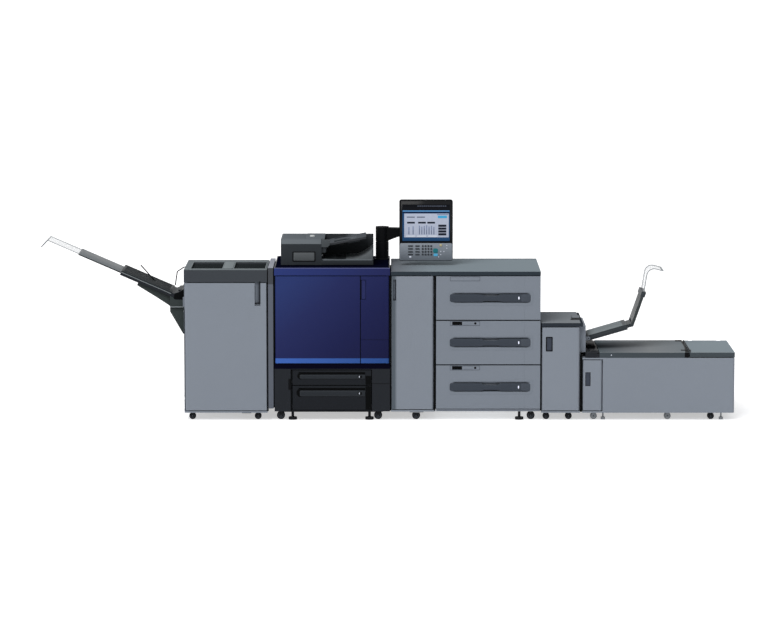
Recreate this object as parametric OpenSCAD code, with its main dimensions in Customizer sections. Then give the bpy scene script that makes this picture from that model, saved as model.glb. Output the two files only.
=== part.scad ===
// Production print line: finisher with output tray, filler, print engine with document feeder
// and operator panel, paper feed cabinet, relay cabinet with bypass tray, and long feeder.
// Millimetres. +X runs along the line to the right, +Z is up, and the fronts face -Y.
// The origin is on the floor, at the middle of the line's bounding box.

/* [Fronts] */
// Thickness of a swinging front door
door_t = 24; // [20:1:28]
// Gap round a door, a drawer front or a lid
panel_gap = 5.5; // [5.2:0.1:7]
// Radius of a door's pivot pin
pin_r = 4; // [3:0.5:6]
// Radial clearance of a pin in its bore
pin_fit = 0.05; // [0.02:0.01:0.1]
// How far a pin runs into its bore
pin_depth = 8; // [6:1:12]
// Thickness of the sill under a door
sill_t = 10; // [10:1:16]
// Running clearance of a slide or a runner
slide_fit = 0.3; // [0.2:0.05:0.5]
// Depth of the bare space behind a door
cavity_depth = 60; // [40:5:120]
// Wall left round the space behind a door
cavity_rim = 24; // [16:2:40]

/* [Line] */
// Gap between docked units
dock_gap = 7; // [4:1:12]
// Side of a docking block that joins two units
dock_block = 60; // [40:5:90]
// Width of a caster wheel's tread
caster_w = 22; // [18:1:26]
// Radius of a levelling foot's pad under the engine and the paper feed cabinet
foot_r = 28; // [20:1:30]
// Radius of a levelling foot's pad under the long feeder
long_foot_r = 14; // [12:1:24]

/* [Finisher] */
// Width of the finisher
finisher_w = 546; // [450:1:650]
// Depth of the finisher and the filler
finisher_d = 560; // [500:5:680]
// Height of the finisher's top
finisher_h = 1000; // [980:1:1040]
// Height of the underside of the finisher's dark top unit
finisher_band_z = 918; // [900:1:930]
// Height of the finisher's underside
finisher_base = 52; // [50:1:70]
// Width of the filler
filler_w = 33; // [25:1:80]

/* [Output tray] */
// Slope of the output tray
tray_slope = 23.5; // [15:0.5:28]
// Width of the output tray
tray_w = 340; // [300:5:360]
// Length of the output tray's sloping deck
tray_l = 360; // [320:5:400]
// Thickness of the sloping deck
tray_t = 30; // [28:1:36]
// Height of the deck's lower end
tray_z = 838; // [820:1:850]
// Length of the tray's extension slide
slide_l = 365; // [330:5:380]
// Length of the slide that stands out at rest
slide_out = 305; // [250:5:310]
// Thickness of the extension slide
slide_t = 12; // [11:0.5:14]
// Length of the clear end that stands out at rest
clear_out = 222; // [150:2:230]

/* [Engine] */
// Width of the print engine
engine_w = 760; // [700:1:820]
// Depth of the print engine
engine_d = 700; // [660:5:740]
// Height of the print engine's deck
engine_h = 1013; // [1000:1:1040]
// Height of the underside of the engine's top unit
engine_band_z = 963; // [950:1:970]
// Height of the top of the engine's lower unit
lower_h = 344; // [340:1:352]
// Height of the sill under the engine's doors
engine_sill_z = 376; // [370:1:384]
// Height of the engine's underside
engine_base = 61; // [56:1:70]
// Width of the main door with its gap
main_door_w = 566; // [480:1:600]
// Width of the lower unit's left block
lower_left_w = 113; // [90:1:150]
// Width of the lower unit's right block
lower_right_w = 118; // [90:1:150]

/* [Document feeder] */
// Width of the document feeder
feeder_w = 609; // [600:1:612]
// Depth of the document feeder
feeder_d = 380; // [340:5:390]
// Height of the document feeder over the deck
feeder_h = 174; // [160:1:190]
// Set-back of the document feeder from the front
feeder_y = 120; // [110:5:130]
// Width of the document feeder's closed head
feeder_head_w = 269; // [240:1:290]
// Slope of the original tray
original_slope = 10.7; // [6:0.1:14]

/* [Operator panel] */
// Width of the operator panel
panel_w = 356; // [320:1:380]
// Height of the operator panel
panel_h = 407; // [380:1:420]
// Thickness of the operator panel
panel_t = 40; // [34:1:50]
// Height of the panel's lower edge
panel_z = 1020; // [1018:1:1040]
// Set-back of the panel's face from the front
panel_y = 350; // [345:1:360]

/* [Paper feed cabinet] */
// Width of the paper feed cabinet
feed_w = 983; // [900:1:1060]
// Depth of the cabinet and its table
table_d = 740; // [725:5:800]
// Height of the table's top
table_h = 989; // [980:1:1000]
// Thickness of the table
table_t = 26; // [22:1:30]
// Width of the cabinet's door bay
feed_door_w = 283; // [220:1:320]
// Width of the post between the door and the drawers
feed_post_w = 8; // [6:1:14]
// Height of the cabinet's underside
feed_base = 60; // [54:1:70]

/* [Relay cabinet] */
// Width of the relay cabinet
relay_w = 256; // [230:1:320]
// Depth of the relay cabinet
relay_d = 560; // [520:5:600]
// Height of the relay cabinet
relay_h = 649; // [640:1:660]
// Height of the underside of the relay cabinet's top
relay_band_z = 624; // [616:1:628]
// Height of the relay cabinet's underside
relay_base = 52; // [50:1:60]
// Width of the inlet head on the relay cabinet's right side
inlet_w = 37; // [30:1:44]

/* [Bypass tray] */
// Slope of the bypass tray
bypass_slope = 16.2; // [10:0.2:20]
// Length of the bypass tray between its two pivots
bypass_l = 300; // [280:5:310]
// Width of the bypass tray
bypass_w = 254; // [220:2:280]
// Thickness of the bypass tray
bypass_t = 34; // [30:1:36]
// Lean of the upturned flap
flap_slope = 71; // [66:0.5:76]
// Length of the upturned flap
flap_l = 236; // [200:2:250]

/* [Long feeder] */
// Width of the long feeder
long_w = 1002; // [950:1:1080]
// Depth of the long feeder
long_d = 600; // [560:5:640]
// Height of the long feeder's covers
long_h = 453; // [450:1:458]
// Height of the underside of the covers
long_band_z = 417; // [414:1:420]
// Height of the long feeder's underside
long_base = 52; // [50:1:60]
// Width of the long feeder's door bay
long_door_w = 135; // [120:1:180]
// Gap between the relay cabinet and the long feeder
long_gap = 14; // [10:1:20]
// Length of the tail cover along the line
tail_w = 296; // [260:1:330]

/* [Hidden] */
$fn = 48;

// Colours
grey = [0.52, 0.54, 0.58];
dark = [0.22, 0.24, 0.26];
black = [0.09, 0.10, 0.11];
slate = [0.42, 0.45, 0.47];
blue = [0.15, 0.20, 0.48];
navy = [0.06, 0.04, 0.20];
clear = [0.85, 0.87, 0.88, 0.5];

// Small overcut, so that no cut ends on a face
over = 1;
// A door's rounded pivot edge stays just inside its faces
edge_r = door_t / 2 - 0.3;
// Free depth between a door's back and the housing behind it
back_gap = panel_gap;
// Front of every housing that a door covers
housing_y = door_t + back_gap;
// Depth of a pin's bore, with room past the pin's end
bore_depth = pin_depth + 1.5;

// Docking blocks: set-back from the fronts, and their heights between tall and low units
dock_y = 200;
dock_tall_z = [200, 700];
dock_relay_z = 400;
dock_long_z = 200;

// Casters and levelling feet: parts, set-backs from front and back, and places along each unit
caster_plate = [44, 52, 5];
caster_gap = 2;
cheek = [24, 4];
cheek_gap = 1;
cheek_drop = 6;
caster_axle_r = 5;
caster_in = 70;
finisher_casters = [49, finisher_w - 64];
engine_casters = [40, engine_w - 78];
feed_casters = [166, feed_w - 60];
relay_casters = [34, relay_w - 74];
long_casters = [78, long_w / 2 + 65, long_w - 150];
foot_pad_h = 16;
foot_stem_r = 9;
long_stem_r = 5;
foot_in = 60;
engine_feet = [118, engine_w - 135];
feed_feet = [feed_w - 136];
long_feet = [140, long_w - 82];

// Finisher: the troughs in its lid, the finger grip of its door, and the filler's underside
trough_depth = 14;
trough_y = 60;
trough_back = 120;
trough_x = 44;
trough_w = 206;
trough_right_x = 326;
trough_rim = 14;
finisher_grip = [38, 14, 150];
finisher_grip_x = finisher_w - 81;
filler_base = 80;

// Wires that sense and guide the stack: radius and depth of both, and the bends of the arm
wire_r = 3;
wire_y = 300;
arm_z = 984;
arm_root_l = 15;
arm_knee = [-13, 984];
arm_knee_lean = 123;
arm_knee_l = 56;
arm_tip = [-59, 954];
arm_tip_lean = 171;
arm_tip_l = 92;

// Output tray: how far each stage reaches, and the tip of the clear end
slide_past = slide_l - slide_out;
slide_stop = 40;
clear_stop = 20;
tray_foot_x = -85;
tip_drop_l = 62;
tip_drop_slope = 46;
clear_t = 5;
clear_w = 244;
slide_w = 280;
clear_tail = 40;

// Output tray's outlines in X and Z from its foot, and the keys that ride in the lift slots
tray_y = 110;
tray_wall_gap = 6;
foot_outline = [
    [-14, 5], [14, -8], [49, 4], [-tray_foot_x - tray_wall_gap, 22],
    [-tray_foot_x - tray_wall_gap, -94], [-14, -94],
];
foot_in_w = 1;
wing_outline = [[-10, -94], [-10, -20], [-220, 74], [-231, 44]];
wing_in_w = 30;
gusset_outline = [
    [-14, -93], [-tray_foot_x - tray_wall_gap, -93], [-tray_foot_x - tray_wall_gap, -278],
    [-tray_foot_x - tray_wall_gap - 8, -278], [-14, -130],
];
gusset_in_w = 20;
key_z = tray_z - 214;
key_h = 127;
key_short = 4;
rod_root = [-205, tray_z + 50];
rod_lean = 41.4;
rod_l = 146;
tray_reach = -tray_foot_x + (tray_l + slide_out + clear_out) * cos(tray_slope)
    + tip_drop_l * cos(tip_drop_slope) + clear_t / 2 * sin(tip_drop_slope);

// Where each unit's left front corner stands
line_w = tray_reach + finisher_w + filler_w + engine_w + feed_w + relay_w + long_w
    + 4 * dock_gap + long_gap;
front_y = -table_d / 2;
finisher_x = tray_reach - line_w / 2;
filler_x = finisher_x + finisher_w + dock_gap;
engine_x = filler_x + filler_w + dock_gap;
feed_x = engine_x + engine_w + dock_gap;
relay_x = feed_x + feed_w + dock_gap;
long_x = relay_x + relay_w + long_gap;

// Lift slots in the finisher's side
slot_w = 20;
slot_d = 24;
slot_top = 812;
slot_bottom = 190;
slot_y = [170, 370];

// Engine's lower unit
drawer_t = 22;
bay_x = lower_left_w;
bay_w = engine_w - lower_left_w - lower_right_w;
bay_floor = engine_base + 5;
bay_top = lower_h - 4;
lower_drawer_h = 160;
upper_drawer_z = bay_floor + panel_gap + lower_drawer_h + panel_gap;
upper_drawer_h = bay_top - panel_gap - upper_drawer_z;
lower_box_h = 110;
upper_box_h = 64;
lower_back = 640;
engine_box_d = 560;
engine_box_z = 12;
engine_door_z = engine_sill_z + panel_gap;
engine_door_h = engine_band_z - panel_gap - engine_door_z;

// Grips and grooves of the engine's doors, blocks and drawers
side_grip = [34, 12, 130];
side_grip_z = 804;
block_step = [7, 30];
block_grip = [22, 16, 74];
block_grip_z = 204;
groove_z = 245;
groove_t = 3;
drawer_slot_in = 40;
drawer_slot_d = 14;
drawer_slot_h = 16;
upper_slot_drop = 28;
lower_slot_drop = 30;

// Document feeder
feeder_x = 41;
feeder_gap = 5.5;
feeder_back_y = feeder_y + feeder_d;
feeder_axis_y = feeder_back_y + 22;
feeder_axis_z = engine_h + 19;
feeder_pin_r = 5;
feeder_ear_r = 12;
feeder_ears = [96, 560];
feeder_ear_w = 20;
feeder_post_w = 10;
feeder_lip_h = 41;
feeder_wall_t = 40;
original_x = feeder_x + feeder_head_w + 24;
original_z = engine_h + 132;
original_l = 272;
original_t = 12;
original_y = feeder_y + 34;
original_w = 280;
original_ear_t = 10;
original_ear_h = 26;
original_ear_below = 16;
original_ear_past = 12;
original_hub_r = 7.7;

// Operator panel: the post's axis and the panel's tilt axis
post_r = 37;
post_x = 708;
post_y = 503;
post_h = 124;
head_h = 97;
head_r = 44;
post_pin_r = 14;
tilt_x = engine_w + dock_gap + 233;
tilt_y = panel_y + panel_t + 18;
tilt_z = panel_z + 186;
tilt_r = 12;
tilt_w = 60;
tilt_ear_t = 14;
panel_corner = 14;
arm_w = 60;
post_pin_room = 4;
// Outline of the arm in X from the post's axis and Z from the head's underside
arm_outline = [
    [0, 6], [44, 6], [108, 30], [tilt_x + tilt_w / 2 - post_x, 40],
    [tilt_x + tilt_w / 2 - post_x, head_h - 14], [0, head_h - 6],
];

// Paper feed cabinet
feed_top_z = table_h - table_t;
drawer_x = feed_door_w + feed_post_w;
drawer_w = feed_w - drawer_x - panel_gap - 1;
feed_wall = 18;
feed_front_t = 40;
feed_bay_floor = feed_base + 14;
feed_drawer_gap = 8;
feed_drawer_h = (feed_top_z - feed_bay_floor - 2 * panel_gap - 2 * feed_drawer_gap) / 3;
feed_box_h = 210;
feed_box_z = 20;
feed_bay_w = feed_w - feed_wall - drawer_x;
feed_box_d = 560;
feed_back_y = table_d - 18;
feed_door_z = feed_base + sill_t + panel_gap;
feed_floor_y = 8;
feed_grip = [20, 14, 138];
feed_grip_x = 13.5;
feed_grip_z = 798;
// Handle pocket of a cabinet drawer, the bar that crosses it, and the bar's narrow waist
pocket = [545, 30, 92];
pocket_x = 385;
pull_bar = [13, 50];
waist_x = 209;
waist_w = 126;
waist_cut = 12;

// Runners under the drawers' side rails
runner_w = 12;
runner_h = 16;
rail_h = 10;
rail_gap = 6;
tray_wall = 6;

// Relay cabinet and bypass tray
inlet_y = 60;
inlet_z = 447;
inlet_h = 176;
inlet_d = 420;
relay_grip = [37, 14, 89];
relay_grip_x = 32;
relay_grip_z = 464;
bypass_clear = 7;
bypass_axis_x = relay_w + inlet_w + bypass_t / 2 + bypass_clear;
bypass_axis_z = 528;
bypass_y = inlet_y + 90;
bypass_ear_t = 10;
bypass_ear_r = 12;
tongue_in = 30;
tongue_w = bypass_w - 2 * tongue_in;
bypass_end_x = bypass_axis_x + bypass_l * cos(bypass_slope);
bypass_end_z = bypass_axis_z + bypass_l * sin(bypass_slope);
flap_t = 17;
flap_head_l = 34;
flap_head_t = 30;
flap_r = 11;
fork_l = 34;
flap_cheek_l = 23;
clear_in_w = 17;
clear_seat = 0.8;
clear_plate_t = 4;
stem_l = 112;
stem_slope = 81;
bend_r = 49;
hook_slope = -15;
hook_l = 50;
into_bend = 3;
bend_past = 0.3;

// Long feeder
long_corner = 16;
long_grip = [34, 14, 91];
long_grip_x = 19.5;
long_grip_z = 230;
bridge_x = 20;
bridge_end = 112;
bridge_h = 28;
tail_x = long_w - tail_w;
lid_z = long_band_z + panel_gap;
lid_r = (long_h - lid_z) / 2;
lid_axis_y = long_d - lid_r;
lid_axis_z = lid_z + lid_r;
lid_ear_w = 18;
lid_ears = [40, tail_w - 64];
lid_ear_r = 9;

// A plain block from its low corner and its size
module block(at, size) {
    translate(at) cube(size);
}

// An upright round bar
module upright(x, y, z, r, h) {
    translate([x, y, z]) cylinder(r = r, h = h);
}

// A round bar along X
module bar_x(x, y, z, r, l) {
    translate([x, y, z]) rotate([0, 90, 0]) cylinder(r = r, h = l);
}

// A round bar along Y
module bar_y(x, y, z, r, l) {
    translate([x, y, z]) rotate([-90, 0, 0]) cylinder(r = r, h = l);
}

// A body w wide along Y from depth y, whose outline lies in X and Z
module side_body(outline, y, w) {
    translate([0, y + w, 0]) rotate([90, 0, 0]) linear_extrude(w) polygon(outline);
}

// Moves what belongs to a unit to that unit's left front corner
module unit(x) {
    translate([x, front_y, 0]) children();
}

// Front door from x = 0 to w, its pivot edge on the left, rounded about the pin
module swing_door(w, h) {
    block([door_t / 2, 0, 0], [w - door_t / 2, door_t, h]);
    upright(door_t / 2, door_t / 2, 0, edge_r, h);
    upright(door_t / 2, door_t / 2, -panel_gap - pin_depth, pin_r, h + 2 * (panel_gap + pin_depth));
}

// The same door with its pivot edge on the right
module swing_door_right(w, h) {
    translate([w, 0, 0]) mirror([1, 0, 0]) swing_door(w, h);
}

// Bore for a door's pin, opening upwards at z
module bore_up(x, z) {
    upright(x, door_t / 2, z - bore_depth, pin_r + pin_fit, bore_depth + over);
}

// Bore for a door's pin, opening downwards at z
module bore_down(x, z) {
    upright(x, door_t / 2, z - over, pin_r + pin_fit, bore_depth + over);
}

// Housing behind a door: a block with a sill in front, and a shallow space that the door covers
module door_housing(w, d, z0, z1, sill) {
    difference() {
        union() {
            block([0, housing_y, z0], [w, d - housing_y, z1 - z0]);
            block([0, 0, z0], [w, housing_y + over, sill]);
        }
        block([cavity_rim, housing_y - over, z0 + sill + cavity_rim],
              [w - 2 * cavity_rim, cavity_depth + over, z1 - z0 - sill - 2 * cavity_rim]);
    }
}

// Open drawer: a front from x = 0 to w, and a box behind it that is box_w wide between its rails
module drawer(w, h, front_t, box_x, box_w, box_d, box_z, box_h) {
    block([0, 0, 0], [w, front_t, h]);
    block([box_x, front_t - over, box_z], [box_w, box_d, tray_wall]);
    block([box_x, front_t - over, box_z], [tray_wall, box_d, box_h]);
    block([box_x + box_w - tray_wall, front_t - over, box_z], [tray_wall, box_d, box_h]);
    block([box_x, front_t + box_d - tray_wall - over, box_z], [box_w, tray_wall, box_h]);
    for (x = [box_x - runner_w, box_x + box_w - over])
        block([x, front_t - over, box_z + runner_h + slide_fit], [runner_w + over, box_d, rail_h]);
}

// Pair of runners on the walls of a bay, under the rails of one drawer
module runner_pair(x0, x1, y, z, l) {
    for (x = [x0, x1 - runner_w])
        block([x, y, z], [runner_w, l, runner_h]);
}

// Caster: a wheel between two cheeks, under a top plate that meets the housing at height h
module caster(x, y, h) {
    r = (h - caster_plate[2] - caster_gap) / 2;
    side = caster_w / 2 + cheek_gap;
    translate([x, y, 0]) {
        block([-caster_plate[0] / 2, -caster_plate[1] / 2, h - caster_plate[2]], caster_plate);
        for (at = [-side - cheek[1], side])
            block([-cheek[0] / 2, at, r - cheek_drop],
                  [cheek[0], cheek[1], h - r + cheek_drop - caster_plate[2] / 2]);
        bar_y(0, -side, r, caster_axle_r, 2 * side);
        bar_y(0, -caster_w / 2, r, r, caster_w);
    }
}

// Casters near the front and the back of a unit that is depth deep
module caster_rows(places, depth, h) {
    for (x = places, y = [caster_in, depth - caster_in])
        caster(x, y, h);
}

// Levelling feet in the same rows: a pad on the floor and a stem up to the housing at height h
module foot_rows(places, depth, h, pad_r, stem_r) {
    for (x = places, y = [foot_in, depth - foot_in]) {
        upright(x, y, 0, pad_r, foot_pad_h);
        upright(x, y, 0, stem_r, h);
    }
}

// ---- Finisher ----
module finisher_cabinet() {
    color(grey) unit(finisher_x) difference() {
        door_housing(finisher_w, finisher_d, finisher_base, finisher_band_z, sill_t);
        bore_up(panel_gap + door_t / 2, finisher_base + sill_t);
        for (y = slot_y)
            block([-over, y, slot_bottom], [slot_d + over, slot_w, slot_top - slot_bottom]);
    }
}

module finisher_top() {
    trough_d = finisher_d - trough_y - trough_back;
    trough_z = finisher_h - trough_depth;
    color(dark) unit(finisher_x) difference() {
        block([0, 0, finisher_band_z], [finisher_w, finisher_d, finisher_h - finisher_band_z]);
        block([trough_x, trough_y, trough_z], [trough_w, trough_d, trough_depth + over]);
        block([trough_right_x, trough_y, trough_z],
              [finisher_w - trough_right_x - trough_rim, trough_d, trough_depth + over]);
        bore_down(panel_gap + door_t / 2, finisher_band_z);
    }
}

module finisher_door() {
    z0 = finisher_base + sill_t + panel_gap;
    w = finisher_w - 2 * panel_gap;
    h = finisher_band_z - panel_gap - z0;
    color(grey) unit(finisher_x + panel_gap) translate([0, 0, z0]) difference() {
        swing_door(w, h);
        block([finisher_grip_x - panel_gap, -over, h - finisher_grip[2]],
              finisher_grip + [0, over, over]);
    }
}

// Bent wire that senses the height of the stack
module paper_arm() {
    color(black) unit(finisher_x) {
        bar_x(-arm_root_l, wire_y, arm_z, wire_r, arm_root_l);
        translate([arm_knee[0], wire_y, arm_knee[1]]) rotate([0, -arm_knee_lean, 0])
            cylinder(r = wire_r, h = arm_knee_l);
        translate([arm_tip[0], wire_y, arm_tip[1]]) rotate([0, -arm_tip_lean, 0])
            cylinder(r = wire_r, h = arm_tip_l);
    }
}

// Places a shape drawn along the slope: its X runs up the tray, its Z is square to the deck
module on_slope() {
    translate([tray_foot_x, 0, tray_z]) mirror([1, 0, 0]) rotate([0, -tray_slope, 0]) children();
}

// Sloping deck, its foot, the wing under it and the carriage that rides in the finisher's slots
module output_tray() {
    color(black) unit(finisher_x) difference() {
        union() {
            on_slope() block([0, tray_y, -tray_t], [tray_l, tray_w, tray_t]);
            translate([tray_foot_x, 0, tray_z]) {
                side_body(foot_outline, tray_y + foot_in_w, tray_w - 2 * foot_in_w);
                side_body(wing_outline, tray_y + wing_in_w, tray_w - 2 * wing_in_w);
                side_body(gusset_outline, tray_y + gusset_in_w, tray_w - 2 * gusset_in_w);
            }
            translate([rod_root[0], wire_y, rod_root[1]]) rotate([0, -rod_lean, 0])
                cylinder(r = wire_r, h = rod_l);
            for (y = slot_y)
                block([-tray_wall_gap - over, y + slide_fit, key_z],
                      [tray_wall_gap + over + slot_d - key_short, slot_w - 2 * slide_fit, key_h]);
        }
        on_slope() block([slide_past - slide_stop, tray_y + (tray_w - slide_w) / 2 - slide_fit,
                          -tray_t + (tray_t - slide_t) / 2 - slide_fit],
                         [tray_l, slide_w + 2 * slide_fit, slide_t + 2 * slide_fit]);
    }
}

module tray_slide() {
    color(grey) unit(finisher_x) on_slope() difference() {
        block([tray_l - slide_past, tray_y + (tray_w - slide_w) / 2, -tray_t + (tray_t - slide_t) / 2],
              [slide_l, slide_w, slide_t]);
        block([tray_l - slide_past + clear_stop, tray_y + (tray_w - clear_w) / 2 - slide_fit,
               -tray_t / 2 - clear_t / 2 - slide_fit],
              [slide_l, clear_w + 2 * slide_fit, clear_t + 2 * slide_fit]);
    }
}

module tray_clear_end() {
    end_x = tray_l + slide_out + clear_out;
    color(clear) unit(finisher_x) on_slope() translate([0, tray_y + (tray_w - clear_w) / 2, -tray_t / 2]) {
        block([tray_l + slide_out - clear_tail, 0, -clear_t / 2],
              [clear_tail + clear_out, clear_w, clear_t]);
        translate([end_x, 0, 0]) rotate([0, tray_slope + tip_drop_slope, 0])
            block([-clear_t / 2, 0, -clear_t / 2], [tip_drop_l + clear_t / 2, clear_w, clear_t]);
    }
}

// ---- Filler and docking ----
module filler_unit() {
    color(slate) unit(filler_x) 
        block([0, 0, filler_base], [filler_w, finisher_d, engine_h - filler_base]);
}

// Blocks that dock each unit to the next, set back from the fronts
module docking_blocks() {
    color(black) {
        for (z = dock_tall_z, x = [filler_x, engine_x, feed_x])
            unit(x) block([-dock_gap, dock_y, z], [dock_gap, dock_block, dock_block]);
        unit(relay_x) block([-dock_gap, dock_y, dock_relay_z], [dock_gap, dock_block, dock_block]);
        unit(long_x) block([-long_gap, dock_y, dock_long_z], [long_gap, dock_block, dock_block]);
    }
}

module casters() {
    color(black) {
        unit(finisher_x) caster_rows(finisher_casters, finisher_d, finisher_base);
        unit(engine_x) caster_rows(engine_casters, engine_d, engine_base);
        unit(feed_x) caster_rows(feed_casters, table_d, feed_base);
        unit(relay_x) caster_rows(relay_casters, relay_d, relay_base);
        unit(long_x) caster_rows(long_casters, long_d, long_base);
    }
}

module levelling_feet() {
    color(dark) {
        unit(engine_x) foot_rows(engine_feet, engine_d, engine_base, foot_r, foot_stem_r);
        unit(feed_x) foot_rows(feed_feet, table_d, feed_base, foot_r, foot_stem_r);
        unit(long_x) foot_rows(long_feet, long_d, long_base, long_foot_r, long_stem_r);
    }
}

// ---- Print engine ----
module engine_housing() {
    color(dark) unit(engine_x) difference() {
        block([0, housing_y, lower_h], [engine_w, engine_d - housing_y, engine_band_z - lower_h]);
        for (bay = [[0, main_door_w], [main_door_w, engine_w - main_door_w]])
            block([bay[0] + cavity_rim, housing_y - over, engine_sill_z + cavity_rim],
                  [bay[1] - 2 * cavity_rim, cavity_depth + over,
                   engine_band_z - engine_sill_z - 2 * cavity_rim]);
    }
}

module engine_top() {
    color(navy) unit(engine_x) difference() {
        block([0, 0, engine_band_z], [engine_w, engine_d, engine_h - engine_band_z]);
        bore_down(panel_gap + door_t / 2, engine_band_z);
        bore_down(engine_w - panel_gap - door_t / 2, engine_band_z);
    }
}

module engine_sill() {
    color(navy) unit(engine_x) difference() {
        block([0, 0, lower_h], [engine_w, housing_y, engine_sill_z - lower_h]);
        bore_up(panel_gap + door_t / 2, engine_sill_z);
        bore_up(engine_w - panel_gap - door_t / 2, engine_sill_z);
    }
}

module engine_main_door() {
    color(blue) unit(engine_x + panel_gap) translate([0, 0, engine_door_z])
        swing_door(main_door_w - 1.5 * panel_gap, engine_door_h);
}

module engine_side_door() {
    w = engine_w - main_door_w - 1.5 * panel_gap;
    color(blue) unit(engine_x + main_door_w + panel_gap / 2) translate([0, 0, engine_door_z])
        difference() {
            swing_door_right(w, engine_door_h);
            block([-over, -over, side_grip_z - engine_door_z], side_grip + [over, over, 0]);
        }
}

module engine_lower_left() {
    h = lower_h - engine_base;
    color(black) unit(engine_x) difference() {
        block([0, 0, engine_base], [lower_left_w, engine_d, h]);
        block([lower_left_w - block_step[0], -over, engine_base - over],
              [block_step[0] + over, block_step[1], h + 2 * over]);
        block([lower_left_w - block_grip[0], -over, block_grip_z], block_grip + [over, over, 0]);
    }
}

module engine_lower_right() {
    color(black) unit(engine_x + engine_w - lower_right_w) difference() {
        block([0, 0, engine_base], [lower_right_w, engine_d, lower_h - engine_base]);
        block([-over, -over, groove_z], [lower_right_w + 2 * over, groove_t + over, groove_t]);
    }
}

// Floor, ceiling and back of the bay for the two drawers
module engine_lower_shell() {
    color(black) unit(engine_x + bay_x) {
        block([0, 0, engine_base], [bay_w, lower_back, bay_floor - engine_base]);
        block([0, 0, bay_top], [bay_w, lower_back, lower_h - bay_top]);
        block([0, lower_back, engine_base], [bay_w, engine_d - lower_back, lower_h - engine_base]);
    }
}

// Drawer of the lower unit, with its handle bar under a finger slot
module engine_drawer(h, box_h, slot_z) {
    w = bay_w - 2 * panel_gap;
    box_x = runner_w + rail_gap - panel_gap;
    difference() {
        drawer(w, h, drawer_t, box_x, w - 2 * box_x, engine_box_d, engine_box_z, box_h);
        block([drawer_slot_in, -over, slot_z],
              [w - 2 * drawer_slot_in, drawer_slot_d + over, drawer_slot_h]);
    }
}

module engine_drawer_upper() {
    color(black) unit(engine_x + bay_x + panel_gap) translate([0, 0, upper_drawer_z])
        engine_drawer(upper_drawer_h, upper_box_h, upper_drawer_h - upper_slot_drop);
}

module engine_drawer_lower() {
    color(black) unit(engine_x + bay_x + panel_gap) translate([0, 0, bay_floor + panel_gap])
        engine_drawer(lower_drawer_h, lower_box_h, lower_drawer_h - lower_slot_drop);
}

// ---- Document feeder ----
module feeder_hinges() {
    color(black) unit(engine_x) for (x = feeder_ears) {
        for (px = [x - panel_gap - feeder_post_w, x + feeder_ear_w + panel_gap]) {
            block([px, feeder_axis_y - feeder_ear_r, engine_h],
                  [feeder_post_w, 2 * feeder_ear_r, feeder_axis_z - engine_h]);
            bar_x(px, feeder_axis_y, feeder_axis_z, feeder_ear_r - 0.3, feeder_post_w);
        }
        bar_x(x - panel_gap - over, feeder_axis_y, feeder_axis_z, feeder_pin_r,
              feeder_ear_w + 2 * (panel_gap + over));
    }
}

module document_feeder() {
    z0 = engine_h + feeder_gap;
    h = feeder_h - feeder_gap;
    well_x = feeder_x + feeder_head_w;
    well_w = feeder_w - feeder_head_w;
    ears_y = [original_y - panel_gap - original_ear_t, original_y + original_w + panel_gap];
    color(dark) unit(engine_x) difference() {
        union() {
            block([feeder_x, feeder_y, z0], [feeder_head_w, feeder_d, h]);
            block([well_x - over, feeder_y, z0], [well_w + over, feeder_d, feeder_lip_h - feeder_gap]);
            block([well_x - over, feeder_back_y - feeder_wall_t, z0], [well_w + over, feeder_wall_t, h]);
            for (x = feeder_ears) {
                block([x, feeder_back_y - over, z0],
                      [feeder_ear_w, feeder_axis_y - feeder_back_y + over,
                       feeder_axis_z - z0 + feeder_ear_r - 1]);
                bar_x(x, feeder_axis_y, feeder_axis_z, feeder_ear_r, feeder_ear_w);
            }
            for (y = ears_y)
                block([well_x - over, y, original_z - original_ear_below],
                      [original_x - well_x + over + original_ear_past, original_ear_t, original_ear_h]);
        }
        for (x = feeder_ears)
            bar_x(x - over, feeder_axis_y, feeder_axis_z, feeder_pin_r + pin_fit, feeder_ear_w + 2 * over);
        for (y = ears_y)
            bar_y(original_x, y - over, original_z, pin_r + pin_fit, original_ear_t + 2 * over);
    }
}

module original_tray() {
    color(slate) unit(engine_x) translate([original_x, original_y, original_z]) {
        rotate([0, -original_slope, 0]) block([0, 0, -original_t / 2], [original_l, original_w, original_t]);
        bar_y(0, 0, 0, original_hub_r, original_w);
        bar_y(0, -panel_gap - original_ear_t, 0, pin_r, original_w + 2 * (panel_gap + original_ear_t));
    }
}

// ---- Operator panel ----
module panel_post() {
    color(black) unit(engine_x) {
        upright(post_x, post_y, engine_h, post_r, post_h);
        upright(post_x, post_y, engine_h, post_pin_r, post_h + head_h / 2);
    }
}

// Turning head with the arm that reaches behind the panel
module panel_arm() {
    z0 = engine_h + post_h + slide_fit;
    color(black) unit(engine_x) difference() {
        union() {
            upright(post_x, post_y, z0, head_r, head_h);
            translate([post_x, post_y - arm_w / 2, z0]) side_body(arm_outline, 0, arm_w);
            block([tilt_x - tilt_w / 2, tilt_y, tilt_z - tilt_r], [tilt_w, post_y - tilt_y, 2 * tilt_r]);
            bar_x(tilt_x - tilt_w / 2, tilt_y, tilt_z, tilt_r - 0.3, tilt_w);
        }
        upright(post_x, post_y, z0 - over, post_pin_r + pin_fit, head_h / 2 + post_pin_room);
        bar_x(tilt_x - tilt_w / 2 - over, tilt_y, tilt_z, pin_r + pin_fit, tilt_w + 2 * over);
    }
}

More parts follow.
